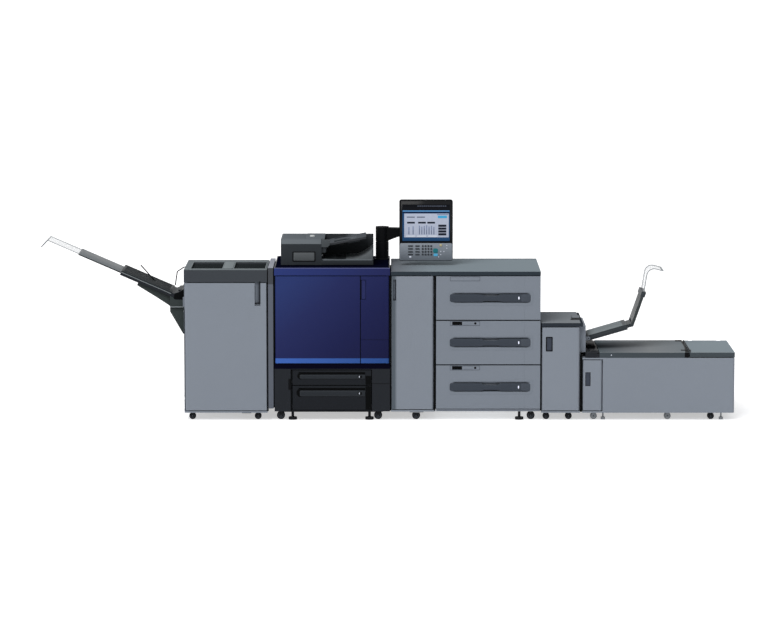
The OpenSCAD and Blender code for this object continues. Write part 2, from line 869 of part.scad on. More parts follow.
module operator_panel() {
    corner = panel_corner;
    color(dark) unit(engine_x) {
        translate([tilt_x - panel_w / 2, panel_y + panel_t, panel_z]) rotate([90, 0, 0])
            linear_extrude(panel_t) {
                translate([corner, 0]) square([panel_w - 2 * corner, panel_h]);
                translate([0, corner]) square([panel_w, panel_h - 2 * corner]);
                for (x = [corner, panel_w - corner], y = [corner, panel_h - corner])
                    translate([x, y]) circle(r = corner - 0.2);
            }
        for (x = [tilt_x - tilt_w / 2 - panel_gap - tilt_ear_t, tilt_x + tilt_w / 2 + panel_gap]) {
            block([x, panel_y + panel_t - over, tilt_z - tilt_r],
                  [tilt_ear_t, tilt_y - panel_y - panel_t + over, 2 * tilt_r]);
            bar_x(x, tilt_y, tilt_z, tilt_r - 0.3, tilt_ear_t);
        }
        bar_x(tilt_x - tilt_w / 2 - panel_gap - over, tilt_y, tilt_z, pin_r,
              tilt_w + 2 * (panel_gap + over));
    }
}

// ---- Paper feed cabinet ----
module feed_housing() {
    color(grey) unit(feed_x) difference() {
        union() {
            door_housing(feed_door_w, feed_back_y, feed_base, feed_top_z, sill_t);
            block([feed_door_w, panel_gap, feed_base],
                  [feed_post_w, feed_back_y - panel_gap, feed_top_z - feed_base]);
        }
        bore_up(feed_door_w - panel_gap - door_t / 2, feed_base + sill_t);
    }
}

module feed_side_wall() {
    y = feed_front_t + panel_gap;
    color(grey) unit(feed_x)
        block([feed_w - feed_wall, y, feed_base], [feed_wall, feed_back_y - y, feed_top_z - feed_base]);
}

module feed_floor() {
    color(dark) unit(feed_x)
        block([drawer_x, feed_floor_y, feed_base],
              [feed_bay_w, feed_back_y - feed_floor_y, feed_bay_floor - feed_base]);
}

module feed_back() {
    color(grey) unit(feed_x)
        block([0, feed_back_y, feed_base], [feed_w, table_d - feed_back_y, feed_top_z - feed_base]);
}

module work_table() {
    color(slate) unit(feed_x) difference() {
        block([0, 0, feed_top_z], [feed_w, table_d, table_t]);
        bore_down(feed_door_w - panel_gap - door_t / 2, feed_top_z);
    }
}

function feed_drawer_z(i) = feed_bay_floor + panel_gap + i * (feed_drawer_h + feed_drawer_gap);

// Runners of the engine's two drawers and of the cabinet's three
module drawer_runners() {
    color(slate) {
        unit(engine_x) for (z = [bay_floor + panel_gap, upper_drawer_z])
            runner_pair(bay_x, bay_x + bay_w, drawer_t + panel_gap, z + engine_box_z, engine_box_d);
        unit(feed_x) for (i = [0 : 2])
            runner_pair(drawer_x, drawer_x + feed_bay_w, feed_front_t + panel_gap,
                        feed_drawer_z(i) + feed_box_z, feed_box_d);
    }
}

module feed_door() {
    h = feed_top_z - panel_gap - feed_door_z;
    w = feed_door_w - 2 * panel_gap;
    color(grey) unit(feed_x + panel_gap) translate([0, 0, feed_door_z]) difference() {
        swing_door_right(w, h);
        block([feed_grip_x - panel_gap, -over, feed_grip_z - feed_door_z], feed_grip + [0, over, 0]);
    }
}

// Cabinet drawer: a wide pocket in the front is crossed by a handle bar with a narrow waist
module feed_drawer(i) {
    box_x = runner_w + rail_gap - panel_gap;
    box_w = feed_bay_w - 2 * (runner_w + rail_gap);
    px = pocket_x - drawer_x - panel_gap;
    pz = (feed_drawer_h - pocket[2]) / 2;
    bar_z = (feed_drawer_h - pull_bar[1]) / 2;
    color(grey) unit(feed_x + drawer_x + panel_gap) translate([0, 0, feed_drawer_z(i)]) {
        difference() {
            drawer(drawer_w, feed_drawer_h, feed_front_t, box_x, box_w, feed_box_d, feed_box_z, feed_box_h);
            block([px, -over, pz], pocket + [0, over, 0]);
        }
        difference() {
            block([px - over, 0, bar_z], [pocket[0] + 2 * over, pull_bar[0], pull_bar[1]]);
            for (z = [bar_z - over, bar_z + pull_bar[1] - waist_cut + over])
                block([px + waist_x, -over, z], [waist_w, pull_bar[0] + 2 * over, waist_cut]);
        }
    }
}

module feed_drawer_top() { feed_drawer(2); }
module feed_drawer_middle() { feed_drawer(1); }
module feed_drawer_bottom() { feed_drawer(0); }

// ---- Relay cabinet and bypass tray ----
module relay_cabinet() {
    color(grey) unit(relay_x) difference() {
        door_housing(relay_w, relay_d, relay_base, relay_band_z, sill_t);
        bore_up(relay_w - panel_gap - door_t / 2, relay_base + sill_t);
    }
}

module relay_top() {
    color(dark) unit(relay_x) difference() {
        block([0, 0, relay_band_z], [relay_w, relay_d, relay_h - relay_band_z]);
        bore_down(relay_w - panel_gap - door_t / 2, relay_band_z);
    }
}

module relay_door() {
    z0 = relay_base + sill_t + panel_gap;
    h = relay_band_z - panel_gap - z0;
    color(grey) unit(relay_x + panel_gap) translate([0, 0, z0]) difference() {
        swing_door_right(relay_w - 2 * panel_gap, h);
        block([relay_grip_x - panel_gap, -over, relay_grip_z - z0], relay_grip + [0, over, 0]);
    }
}

// Head on the relay cabinet's side where bypass sheets go in, with the ears of the bypass tray
module relay_inlet() {
    side_x = relay_w + inlet_w;
    ears_y = [bypass_y - panel_gap - bypass_ear_t, bypass_y + bypass_w + panel_gap];
    color(slate) unit(relay_x) difference() {
        union() {
            block([relay_w, inlet_y, inlet_z], [inlet_w, inlet_d, inlet_h]);
            for (y = ears_y) {
                block([side_x - over, y, bypass_axis_z - bypass_ear_r],
                      [bypass_axis_x - side_x + over, bypass_ear_t, 2 * bypass_ear_r]);
                bar_y(bypass_axis_x, y, bypass_axis_z, bypass_ear_r - 0.3, bypass_ear_t);
            }
        }
        for (y = ears_y)
            bar_y(bypass_axis_x, y - over, bypass_axis_z, pin_r + pin_fit, bypass_ear_t + 2 * over);
    }
}

module bypass_tray() {
    color(slate) unit(relay_x) translate([bypass_axis_x, bypass_y, bypass_axis_z])
        rotate([0, -bypass_slope, 0]) difference() {
            union() {
                block([0, 0, -bypass_t / 2], [bypass_l - fork_l, bypass_w, bypass_t]);
                block([bypass_l - fork_l - over, tongue_in, -flap_r],
                      [fork_l + over, tongue_w, 2 * flap_r]);
                bar_y(0, 0, 0, bypass_t / 2 - 0.3, bypass_w);
                bar_y(bypass_l, tongue_in, 0, flap_r - 0.3, tongue_w);
                bar_y(0, -panel_gap - bypass_ear_t, 0, pin_r, bypass_w + 2 * (panel_gap + bypass_ear_t));
            }
            bar_y(bypass_l, tongue_in - over, 0, pin_r + pin_fit, tongue_w + 2 * over);
        }
}

// Upturned flap: two cheeks on a pin through the tray's tongue, a plate and a thicker head
module bypass_flap() {
    cheek_w = tongue_in - panel_gap;
    color(black) unit(relay_x) translate([bypass_end_x, bypass_y, bypass_end_z])
        rotate([0, -flap_slope, 0]) {
            block([flap_cheek_l, 0, -flap_t / 2], [flap_l - flap_cheek_l, bypass_w, flap_t]);
            block([flap_l - flap_head_l, 0, -flap_head_t / 2], [flap_head_l, bypass_w, flap_head_t]);
            for (y = [0, bypass_w - cheek_w]) {
                block([0, y, -flap_t / 2], [flap_cheek_l + over, cheek_w, flap_t]);
                bar_y(0, y, 0, flap_t / 2 - 0.3, cheek_w);
            }
            bar_y(0, cheek_w - over, 0, pin_r, tongue_w + 2 * (panel_gap + over));
        }
}

// Clear end plate: a stem out of the flap's head, a bend and a hook that points away.
// The bend is a little thicker than what runs into it, so that their faces cross cleanly.
module bypass_clear_end() {
    w = bypass_w - 2 * clear_in_w;
    bend_t = clear_plate_t + bend_past;
    root = (flap_l + clear_seat) * [cos(flap_slope), sin(flap_slope)];
    bend = root + stem_l * [cos(stem_slope), sin(stem_slope)]
        + bend_r * [sin(stem_slope), -cos(stem_slope)];
    past = 3 * bend_r;
    middle = (stem_slope + hook_slope) / 2 + 90;
    color(clear) unit(relay_x)
        translate([bypass_end_x, bypass_y + clear_in_w + w, bypass_end_z])
            rotate([90, 0, 0]) linear_extrude(w) {
                translate(root) rotate(stem_slope) translate([0, -clear_plate_t / 2])
                    square([stem_l + into_bend, clear_plate_t]);
                translate(bend) intersection() {
                    difference() {
                        circle(r = bend_r + bend_t / 2);
                        circle(r = bend_r - bend_t / 2);
                    }
                    polygon([
                        [0, 0], past * [cos(stem_slope + 90), sin(stem_slope + 90)],
                        past * [cos(middle), sin(middle)],
                        past * [cos(hook_slope + 90), sin(hook_slope + 90)],
                    ]);
                }
                translate(bend) rotate(hook_slope) translate([-into_bend, bend_r - clear_plate_t / 2])
                    square([hook_l + into_bend, clear_plate_t]);
            }
}

// ---- Long feeder ----
module long_housing() {
    corner = long_corner;
    z0 = long_base;
    top = long_band_z;
    color(grey) unit(long_x) difference() {
        union() {
            door_housing(long_door_w, long_d, z0, top, sill_t);
            block([long_door_w - over, 0, z0], [long_w - corner - long_door_w + over, long_d, top - z0]);
            block([long_w / 2, corner, z0], [long_w / 2, long_d - corner, top - z0]);
            upright(long_w - corner, corner, z0, corner - 0.1, top - z0);
            for (x = lid_ears) {
                block([tail_x + x, lid_axis_y - lid_ear_r, top - over],
                      [lid_ear_w, 2 * lid_ear_r, lid_axis_z - top + over]);
                bar_x(tail_x + x, lid_axis_y, lid_axis_z, lid_ear_r - 0.2, lid_ear_w);
            }
            block([0, 0, top - sill_t], [long_door_w, housing_y + over, sill_t]);
        }
        bore_up(long_door_w - panel_gap - door_t / 2, z0 + sill_t);
        bore_down(long_door_w - panel_gap - door_t / 2, top - sill_t);
        for (x = lid_ears)
            bar_x(tail_x + x - over, lid_axis_y, lid_axis_z, pin_r + pin_fit, lid_ear_w + 2 * over);
    }
}

module long_cover() {
    color(slate) unit(long_x)
        block([bridge_end, 0, long_band_z],
              [tail_x - panel_gap - bridge_end, long_d, long_h - long_band_z]);
}

// Dark bridge that carries the sheets from the long feeder to the relay cabinet
module long_bridge() {
    color(black) unit(long_x)
        block([bridge_x, 0, long_band_z], [bridge_end - bridge_x, long_d, bridge_h]);
}

module long_door() {
    z0 = long_base + sill_t + panel_gap;
    h = long_band_z - sill_t - panel_gap - z0;
    color(grey) unit(long_x + panel_gap) translate([0, 0, z0]) difference() {
        swing_door_right(long_door_w - 2 * panel_gap, h);
        block([long_grip_x - panel_gap, -over, long_grip_z - z0], long_grip + [0, over, 0]);
    }
}

// Lid at the tail end, with its rounded back edge on pins through the housing's ears
module tail_cover() {
    color(slate) unit(long_x + tail_x) {
        difference() {
            union() {
                block([0, 0, lid_z], [tail_w, lid_axis_y, long_h - lid_z]);
                bar_x(0, lid_axis_y, lid_axis_z, lid_r - 0.2, tail_w);
            }
            for (x = lid_ears)
                block([x - panel_gap, lid_axis_y - lid_ear_r - panel_gap, lid_z - over],
                      [lid_ear_w + 2 * panel_gap, long_d, long_h - lid_z + 2 * over]);
        }
        for (x = lid_ears)
            bar_x(x - panel_gap - over, lid_axis_y, lid_axis_z, pin_r, lid_ear_w + 2 * (panel_gap + over));
    }
}

finisher_cabinet();
finisher_top();
finisher_door();
paper_arm();
output_tray();
tray_slide();
tray_clear_end();
filler_unit();
docking_blocks();
casters();
levelling_feet();
engine_housing();
engine_top();
engine_sill();
engine_main_door();
engine_side_door();
engine_lower_left();
engine_lower_right();
engine_lower_shell();
engine_drawer_upper();
engine_drawer_lower();
feeder_hinges();
document_feeder();
original_tray();
panel_post();
panel_arm();
operator_panel();
feed_housing();
feed_side_wall();
feed_floor();
feed_back();
work_table();
drawer_runners();
feed_door();
feed_drawer_top();
feed_drawer_middle();
feed_drawer_bottom();
relay_cabinet();
relay_top();
relay_inlet();
relay_door();
bypass_tray();
bypass_flap();
bypass_clear_end();
long_housing();
long_cover();
long_bridge();
long_door();
tail_cover();
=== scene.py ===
# %% [markdown]
# # A digital production printer line
#
# Six machines stand in one row: a finisher with its output tray, a narrow filler, the print
# engine with a document feeder and an operator panel, a paper feed cabinet, a relay cabinet with
# a bypass tray, and a long feeder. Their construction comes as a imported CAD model. This lesson
# gives that model its finish: a material for every node, and the small parts that a housing has,
# such as grips, keys, vents and screws.

import math

import bmesh
import bpy
from mathutils import Matrix, Vector


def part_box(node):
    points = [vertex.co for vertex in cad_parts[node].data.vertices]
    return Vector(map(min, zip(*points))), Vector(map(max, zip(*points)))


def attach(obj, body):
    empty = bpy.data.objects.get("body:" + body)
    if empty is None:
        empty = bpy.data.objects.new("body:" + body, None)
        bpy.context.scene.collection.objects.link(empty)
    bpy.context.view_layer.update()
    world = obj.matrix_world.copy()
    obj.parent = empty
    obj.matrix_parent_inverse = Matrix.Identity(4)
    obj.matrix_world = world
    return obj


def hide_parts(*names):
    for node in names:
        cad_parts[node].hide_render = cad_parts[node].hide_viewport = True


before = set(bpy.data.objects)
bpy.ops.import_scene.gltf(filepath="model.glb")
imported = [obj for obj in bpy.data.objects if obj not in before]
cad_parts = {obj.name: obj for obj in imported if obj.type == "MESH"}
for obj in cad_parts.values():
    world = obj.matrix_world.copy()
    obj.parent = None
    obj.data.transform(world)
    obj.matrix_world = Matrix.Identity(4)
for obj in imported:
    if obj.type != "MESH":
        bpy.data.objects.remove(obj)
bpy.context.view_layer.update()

# %% [markdown]
# ## Where things are
#
# A maker of such a machine gives places in millimetres from the left front corner of each unit,
# with y as the depth behind the front plane. The same is done here. The corners come from the
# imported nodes, so a unit that moves in the CAD takes its trims with it.

# %% Unit corners
MM = 0.001
FRONT_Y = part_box("work_table")[0][1]


class Span:
    """The box of a CAD node in millimetres, with y as the depth behind the front plane."""

    def __init__(self, node):
        low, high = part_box(node)
        self.x0, self.x1 = low[0] / MM, high[0] / MM
        self.y0, self.y1 = (low[1] - FRONT_Y) / MM, (high[1] - FRONT_Y) / MM
        self.z0, self.z1 = low[2] / MM, high[2] / MM


UNIT_NODES = {
    "finisher": "finisher_cabinet",
    "filler": "filler_unit",
    "engine": "engine_top",
    "feed": "work_table",
    "relay": "relay_cabinet",
    "long": "long_housing",
}
unit_x = {unit: Span(node).x0 for unit, node in UNIT_NODES.items()}
print("left edges in mm:", {unit: round(x, 1) for unit, x in unit_x.items()})

# %% [markdown]
# ## Shader maths as expressions
#
# A procedural finish is mostly arithmetic on masks: how much dust, how close to an edge, how far
# along a gradient. Wiring Math nodes by hand hides that arithmetic. A small class that wraps a
# socket and overloads the operators lets each finish be written as it is thought of.

# %% Wires
class Wire:
    """An output socket that can be used in an expression. Each operator adds a Math node."""

    def __init__(self, graph, socket):
        self.graph, self.socket = graph, socket

    def _math(self, operation, *values, clamp=False):
        settings = {"operation": operation, "use_clamp": clamp}
        return self.graph.add("ShaderNodeMath", settings, dict(enumerate(values)))

    def __add__(self, other):
        return self._math("ADD", self, other)

    def __sub__(self, other):
        return self._math("SUBTRACT", self, other)

    def __mul__(self, other):
        return self._math("MULTIPLY", self, other)

    def __truediv__(self, other):
        return self._math("DIVIDE", self, other)

    def __rsub__(self, other):
        return self._math("SUBTRACT", other, self)

    __radd__, __rmul__ = __add__, __mul__

    def clamp(self):
        """The value held between 0 and 1."""
        return self._math("ADD", self, 0.0, clamp=True)

    def above(self, edge, soft):
        """0 below the edge and 1 above it, over a soft width."""
        return ((self - edge) / soft + 0.5).clamp()

    def other(self, name):
        """Another output of the same node."""
        return Wire(self.graph, self.socket.node.outputs[name])


print("wires can be added, subtracted, multiplied and divided")

# %% Graphs
class Graph:
    """A node tree under construction, for a surface, the room or a repeated shape."""

    def __init__(self, tree):
        self.tree = tree
        self.tree.nodes.clear()

    def add(self, kind, settings=None, sockets=None, out=0):
        """Adds a node: its settings first, then the values or links of its sockets."""
        node = self.tree.nodes.new(kind)
        for key, value in (settings or {}).items():
            if key == "stops":
                for _ in range(len(value) - 2):
                    node.color_ramp.elements.new(0.5)
                for stop, (place, colour) in zip(node.color_ramp.elements, value):
                    stop.position, stop.color = place, colour
            else:
                setattr(node, key, value)
        for key, value in (sockets or {}).items():
            for link in value if isinstance(value, list) else [value]:
                if isinstance(link, Wire):
                    self.tree.links.new(link.socket, node.inputs[key])
                else:
                    node.inputs[key].default_value = link
        return Wire(self, node.outputs[out]) if node.outputs else node


print("graphs ready")

# %% Finishes
class Finish(Graph):
    """The node tree of one material."""

    def __init__(self, name):
        self.material = bpy.data.materials.new(name)
        self.material.use_nodes = True
        super().__init__(self.material.node_tree)

    def place(self):
        """The point's place on the piece, in metres."""
        return self.add("ShaderNodeTexCoord", out="Object")

    def axes(self):
        """The x, y and z of the point's place, one wire each."""
        split = self.add("ShaderNodeSeparateXYZ", {}, {0: self.place()})
        return split, split.other("Y"), split.other("Z")

    def noise(self, scale, detail=2.0, rough=0.5):
        """Smooth noise between 0 and 1. The scale is in features per metre."""
        sockets = {"Vector": self.place(), "Scale": scale, "Detail": detail, "Roughness": rough}
        return self.add("ShaderNodeTexNoise", {}, sockets)

    def mix(self, factor, first, second):
        """Two colours mixed by a factor."""
        sockets = {0: factor, 6: first, 7: second}
        return self.add("ShaderNodeMix", {"data_type": "RGBA"}, sockets, out=2)

    def tint(self, colour, amount):
        """A colour made lighter or darker by an amount that varies round 1."""
        grey = self.add("ShaderNodeCombineXYZ", {}, {0: amount, 1: amount, 2: amount})
        settings = {"data_type": "RGBA", "blend_type": "MULTIPLY"}
        return self.add("ShaderNodeMix", settings, {0: 1.0, 6: colour, 7: grey}, out=2)

    def close(self, shader):
        """Ends the tree at a surface and returns the material."""
        self.add("ShaderNodeOutputMaterial", {}, {"Surface": shader})
        return self.material

    def principled(self, sockets):
        """Ends the tree at a Principled BSDF with these sockets."""
        return self.close(self.add("ShaderNodeBsdfPrincipled", {}, sockets))


def rgb(red, green, blue):
    """A linear colour from the 0 to 255 values that a paint chart gives."""
    def linear(value):
        value /= 255
        return value / 12.92 if value <= 0.04045 else ((value + 0.055) / 1.055) ** 2.4
    return (linear(red), linear(green), linear(blue), 1.0)


print("mid grey as a linear value:", round(rgb(128, 128, 128)[0], 3))

# %% [markdown]
# ## Camera, floor and light
#
# The line is over four metres long, so it is seen from far away through a long lens, a little
# from above. Far away, the near and far ends of the row keep the same scale. The light is that of
# a plain studio: an even white room, and one wide lamp from the front left that gives each edge a
# light side and a dark side. The room is pure white only where it is seen: by the camera, in a
# gloss or through glass. The light that it gives is weaker, so it doesn't wash out the paint.

# %% Camera
LENS_MM, SENSOR_MM = 163.2, 36
CAMERA_X = 0.0107
CAMERA_Y, CAMERA_Z = -23.37, 3.697
AIM_Y, AIM_Z = -0.37, 0.725
SIGHT = 500
camera_data = bpy.data.cameras.new("camera")
camera_data.lens, camera_data.sensor_width = LENS_MM, SENSOR_MM
camera_data.clip_end = SIGHT
camera = bpy.data.objects.new("camera", camera_data)
camera.location = (CAMERA_X, CAMERA_Y, CAMERA_Z)
aim = Vector((CAMERA_X, AIM_Y, AIM_Z))
camera.rotation_euler = (aim - camera.location).to_track_quat("-Z", "Y").to_euler()
bpy.context.collection.objects.link(camera)
bpy.context.scene.camera = camera
bpy.context.scene.view_settings.view_transform = "Standard"
print("camera to aim in metres:", round((aim - camera.location).length, 2))

# %% Floor
def seen_directly(graph):
    """1 for what the camera sees, itself or through glass or in a gloss, and 0 for light."""
    rays = graph.add("ShaderNodeLightPath")
    return (rays + rays.other("Is Glossy Ray") + rays.other("Is Transmission Ray")).clamp()


FLOOR_GLOW = 0.5
floor_finish = Finish("floor")
floor_paint = floor_finish.add("ShaderNodeBsdfDiffuse", {}, {"Color": rgb(244, 244, 245)})
floor_glow = floor_finish.add(
    "ShaderNodeEmission", {}, {"Strength": seen_directly(floor_finish) * FLOOR_GLOW}
)
floor_mesh = bpy.data.meshes.new("floor")
FLOOR_REACH = 300
floor_mesh.from_pydata(
    [(x * FLOOR_REACH, y * FLOOR_REACH, 0) for x, y in ((-1, -1), (1, -1), (1, 1), (-1, 1))],
    [],
    [(0, 1, 2, 3)],
)
floor_mesh.materials.append(
    floor_finish.close(floor_finish.add("ShaderNodeAddShader", {}, {0: floor_paint, 1: floor_glow}))
)
floor = bpy.data.objects.new("floor", floor_mesh)
bpy.context.collection.objects.link(floor)
print("floor reaches", FLOOR_REACH, "metres each way")

# %% Lamp and room
LAMP_STRENGTH, LAMP_WIDTH = 1.75, math.radians(38)
LAMP_WAY = (0.42, 0.80, -0.86)
lamp_data = bpy.data.lights.new("lamp", "SUN")
lamp_data.energy, lamp_data.angle = LAMP_STRENGTH, LAMP_WIDTH
lamp = bpy.data.objects.new("lamp", lamp_data)
lamp.rotation_euler = Vector(LAMP_WAY).to_track_quat("-Z", "Y").to_euler()
bpy.context.collection.objects.link(lamp)

world = bpy.data.worlds.new("room")
world.use_nodes = True
bpy.context.scene.world = world
room = Graph(world.node_tree)
ROOM_LIGHT = 0.62
room_glow = room.add(
    "ShaderNodeBackground", {}, {"Strength": ROOM_LIGHT + seen_directly(room) * (1 - ROOM_LIGHT)}
)
room.add("ShaderNodeOutputWorld", {}, {"Surface": room_glow})
print("lamp strength:", LAMP_STRENGTH, "and room light:", ROOM_LIGHT)

# %% [markdown]
# ## Painted and moulded surfaces
#
# Almost every outer face of an office machine is moulded plastic or powder-coated steel. Both
# have a fine grain that keeps them from shining, small differences in shade from one panel to the
# next, and edges that are a little rounded. A Bevel node gives the shaded edge its radius, and the
# same node tells where an edge is: there the rounded normal leaves the flat one. The edges are
# painted lighter, partly as rubbed wear and partly as a painted highlight.

# %% Edges and coats
EDGE_GAIN = 5
COAT_EDGE_R, METAL_EDGE_R, CLEAR_EDGE_R = 1.4, 0.8, 3.0
RUB_HIGHLIGHT_GAIN, RUB_HIGHLIGHT_LIFT = 1.35, 0.05


def edges(finish, radius):
    """The rounded normal, and a mask that is 1 on an edge of that radius in mm."""
    soft = finish.add("ShaderNodeBevel", {"samples": 6}, {"Radius": radius * MM})
    flat = finish.add("ShaderNodeNewGeometry", out="True Normal")
    product = {"operation": "DOT_PRODUCT"}
    match = finish.add("ShaderNodeVectorMath", product, {0: soft, 1: flat}, "Value")
    return soft, ((1 - match) * EDGE_GAIN).clamp()


def coated(
    name, colour, roughness=0.48, grain=1100, depth=0.05, rub=0.3, coat=0.0, shade=None, shine=0.1
):
    """A painted or moulded finish. The grain is in features per metre, and depth in mm."""
    finish = Finish(name)
    soft, edge = edges(finish, COAT_EDGE_R)
    cloud = finish.noise(2.3, 3.0)
    speck = finish.noise(grain, 2.0)
    smudge = finish.noise(17.0, 4.0, 0.6)
    paint = shade(finish, colour) if shade else colour
    paint = finish.tint(paint, 0.955 + cloud * 0.06 + speck * 0.03)
    # Every edge is made lighter: partly rubbed wear, partly a painted highlight.
    rubbed_and_highlit = (*[min(1, c * RUB_HIGHLIGHT_GAIN + RUB_HIGHLIGHT_LIFT) for c in colour[:3]], 1)
    base = finish.mix(edge * rub, paint, rubbed_and_highlit)
    height = {"Strength": 0.5, "Distance": depth * MM, "Height": speck, "Normal": soft}
    normal = finish.add("ShaderNodeBump", {}, height)
    sockets = {
        "Base Color": base,
        "Roughness": roughness - 0.06 + smudge * 0.12,
        "Normal": normal,
        "Specular IOR Level": shine,
        "Coat Weight": coat,
        "Coat Roughness": 0.18,
    }
    return finish.principled(sockets)


print("edge gain:", EDGE_GAIN)

# %% Coated finishes
cover_grey = coated("cover_grey", rgb(131, 138, 148))
drawer_grey = coated("drawer_grey", rgb(124, 131, 141))
cover_dark = coated("cover_dark", rgb(54, 59, 63), roughness=0.42)
cover_black = coated("cover_black", rgb(32, 35, 40), roughness=0.45)
drawer_black = coated("drawer_black", rgb(24, 27, 32), roughness=0.42, rub=0.3)
slot_black = coated("slot_black", rgb(4, 5, 6), roughness=0.6, rub=0.0, shine=0.05)
trim_black = coated("trim_black", rgb(14, 15, 17), roughness=0.5, rub=0.12, shine=0.05)
handle_slate = coated("handle_slate", rgb(60, 66, 77), roughness=0.36)
tray_grey = coated("tray_grey", rgb(110, 115, 119), roughness=0.4)
tray_slate = coated("tray_slate", rgb(56, 58, 62), roughness=0.4, shine=0.05)
print("coated finishes:", len(bpy.data.materials))

# %% [markdown]
# ## The blue doors
#
# The print engine's two doors and the band above them carry a deep blue lacquer under a clear
# coat, with a lighter stripe along their lower edge. Painted light lies over the blue: a painted
# highlight makes it brighter at the top left, and painted shade takes it to near violet at the
# lower right. The painted light follows the place of each point, so both doors share one fade.

# %% Blue lacquer
engine = Span("engine_top")
ENGINE_W = engine.x1 - engine.x0
STRIPE_Z, BAND_H, RIM_T = 414, 50, 0.8
STRIPE_SOFT, BAND_SOFT = 0.0006, 0.0003
FADE_FOOT, FADE_RISE = 0.38, 0.63


def blue_with_painted_light(finish, colour):
    """The blue with its painted highlight and shade over both doors, the stripe along their foot
    and the band over them.
    """
    x, _, z = finish.axes()
    along = (x - engine.x0 * MM) / (ENGINE_W * MM)
    up = (z - FADE_FOOT) / FADE_RISE
    # Painted light: brighter toward the top left, darker toward the lower right.
    fade = (0.55 + up * 0.55 - along * 0.62 + finish.noise(1.6, 1.0) * 0.1).clamp()
    stops = [
        (0.0, rgb(15, 18, 58)),
        (0.35, rgb(23, 28, 73)),
        (0.7, rgb(33, 40, 88)),
        (1.0, rgb(40, 54, 106)),
    ]
    ramp = finish.add("ShaderNodeValToRGB", {"stops": stops}, {0: fade})
    # Painted shade: the stripe and the band darken toward the right.
    stripe = finish.mix(along.clamp(), rgb(62, 100, 180), rgb(40, 74, 136))
    doors = finish.mix(z.above(STRIPE_Z * MM, STRIPE_SOFT), stripe, ramp)
    band = finish.mix(along.clamp(), rgb(41, 55, 114), rgb(31, 36, 82))
    doors = finish.mix(z.above((engine.z1 - BAND_H) * MM, BAND_SOFT), doors, band)
    return finish.mix(z.above((engine.z1 - RIM_T) * MM, BAND_SOFT), doors, rgb(6, 8, 26))


blue_lacquer = coated(
    "blue_lacquer",
    rgb(44, 60, 130),
    roughness=0.3,
    depth=0.012,
    rub=0.16,
    coat=0.06,
    shade=blue_with_painted_light,
    shine=0.06,
)
navy_lacquer = coated(
    "navy_lacquer", rgb(2, 1, 20), roughness=0.3, depth=0.012, rub=0.1, shine=0.03
)
print("blue stripe top at", STRIPE_Z, "mm")

# %% [markdown]
# ## Clear plates, metal and lamps
#
# The ends of the trays are clear plastic with frosted edges. Hinges, runners and inner panels are
# zinc-plated steel, whose crystals show as soft patches of slightly different shine. The lamps on
# the drawers are small lit windows, glossy plastic with light behind it.

# %% Clear plastic
def clear_plastic(name, colour):
    """Clear moulded plastic: its faces let most light by, and its edges look frosted."""
    finish = Finish(name)
    _, edge = edges(finish, CLEAR_EDGE_R)
    haze = finish.noise(30.0, 3.0)
    sockets = {
        "Base Color": finish.mix(edge, colour, rgb(176, 180, 184)),
        "Roughness": 0.2 + haze * 0.1,
        "Alpha": (0.32 + haze * 0.04 + edge * 0.6).clamp(),
        "Specular IOR Level": 0.2,
    }
    return finish.principled(sockets)


clear_plate = clear_plastic("clear_plate", rgb(214, 218, 221))
print("clear finish:", clear_plate.name)

# %% Plated steel
def plated(name, colour, roughness=0.34):
    """Zinc-plated steel with its faint crystals."""
    finish = Finish(name)
    soft, edge = edges(finish, METAL_EDGE_R)
    sockets = {"Vector": finish.place(), "Scale": 90.0}
    crystal = finish.add("ShaderNodeTexVoronoi", {}, sockets, "Color")
    crystal = finish.add("ShaderNodeSeparateXYZ", {}, {0: crystal})
    scratch = finish.noise(260.0, 3.0)
    bare = finish.mix(edge * 0.5, colour, rgb(235, 238, 240))
    sockets = {
        "Base Color": finish.tint(bare, 0.93 + crystal * 0.1),
        "Metallic": 0.9,
        "Roughness": roughness + crystal * 0.08 + scratch * 0.08,
        "Normal": soft,
    }
    return finish.principled(sockets)


zinc = plated("zinc", rgb(176, 180, 184))
runner_dark = plated("runner_dark", rgb(48, 50, 54), roughness=0.5)
bright_steel = plated("bright_steel", rgb(205, 208, 212), roughness=0.22)
print("materials so far:", len(bpy.data.materials))

# %% Lit windows
def glowing(name, colour, strength):
    """A lit window: glossy plastic with light behind it."""
    finish = Finish(name)
    ripple = finish.noise(60.0, 1.0)
    sockets = {
        "Base Color": finish.tint(colour, 0.3 + ripple * 0.1),
        "Roughness": 0.2,
        "Specular IOR Level": 0.06,
        "Emission Color": colour,
        "Emission Strength": strength,
    }
    return finish.principled(sockets)


led_white = glowing("led_white", rgb(236, 240, 255), 1.0)
led_soft = glowing("led_soft", rgb(204, 210, 222), 0.7)
print("materials so far:", len(bpy.data.materials))

# %% [markdown]
# ## Covers in two colours
#
# Several covers are moulded in one piece and painted in two tones: a lighter top that people work
# on, and a dark edge band that hides scuffs. The line between them lies on an edge of the shape,
# so a simple test on height is enough to mask it, and no extra piece is needed.

# %% Pale tops of the finisher and the relay cabinet
FINISHER_RIM_Z, RELAY_RIM_Z = 999.3, 648.3
LINE_SOFT = 0.0005


def topped(top, height):
    """Gives everything above a height, in mm, the colour of the top."""
    def shade(finish, colour):
        _, _, z = finish.axes()
        return finish.mix(z.above(height * MM, LINE_SOFT), colour, top)
    return shade


lid_top = topped(rgb(122, 129, 133), FINISHER_RIM_Z)
relay_top = topped(rgb(134, 139, 144), RELAY_RIM_Z)
finisher_lid = coated("finisher_lid", rgb(66, 70, 75), roughness=0.4, shine=0.0, shade=lid_top)
relay_lid = coated("relay_lid", rgb(48, 53, 60), roughness=0.34, shine=0.0, shade=relay_top)
print("pale above", FINISHER_RIM_Z, "and", RELAY_RIM_Z, "mm")

# %% Covers of the long feeder and the table
LONG_RIM_Z, LONG_FADE = 451.8, 0.9
TABLE_RIM_Z = 988.3
feed_left = unit_x["feed"] * MM


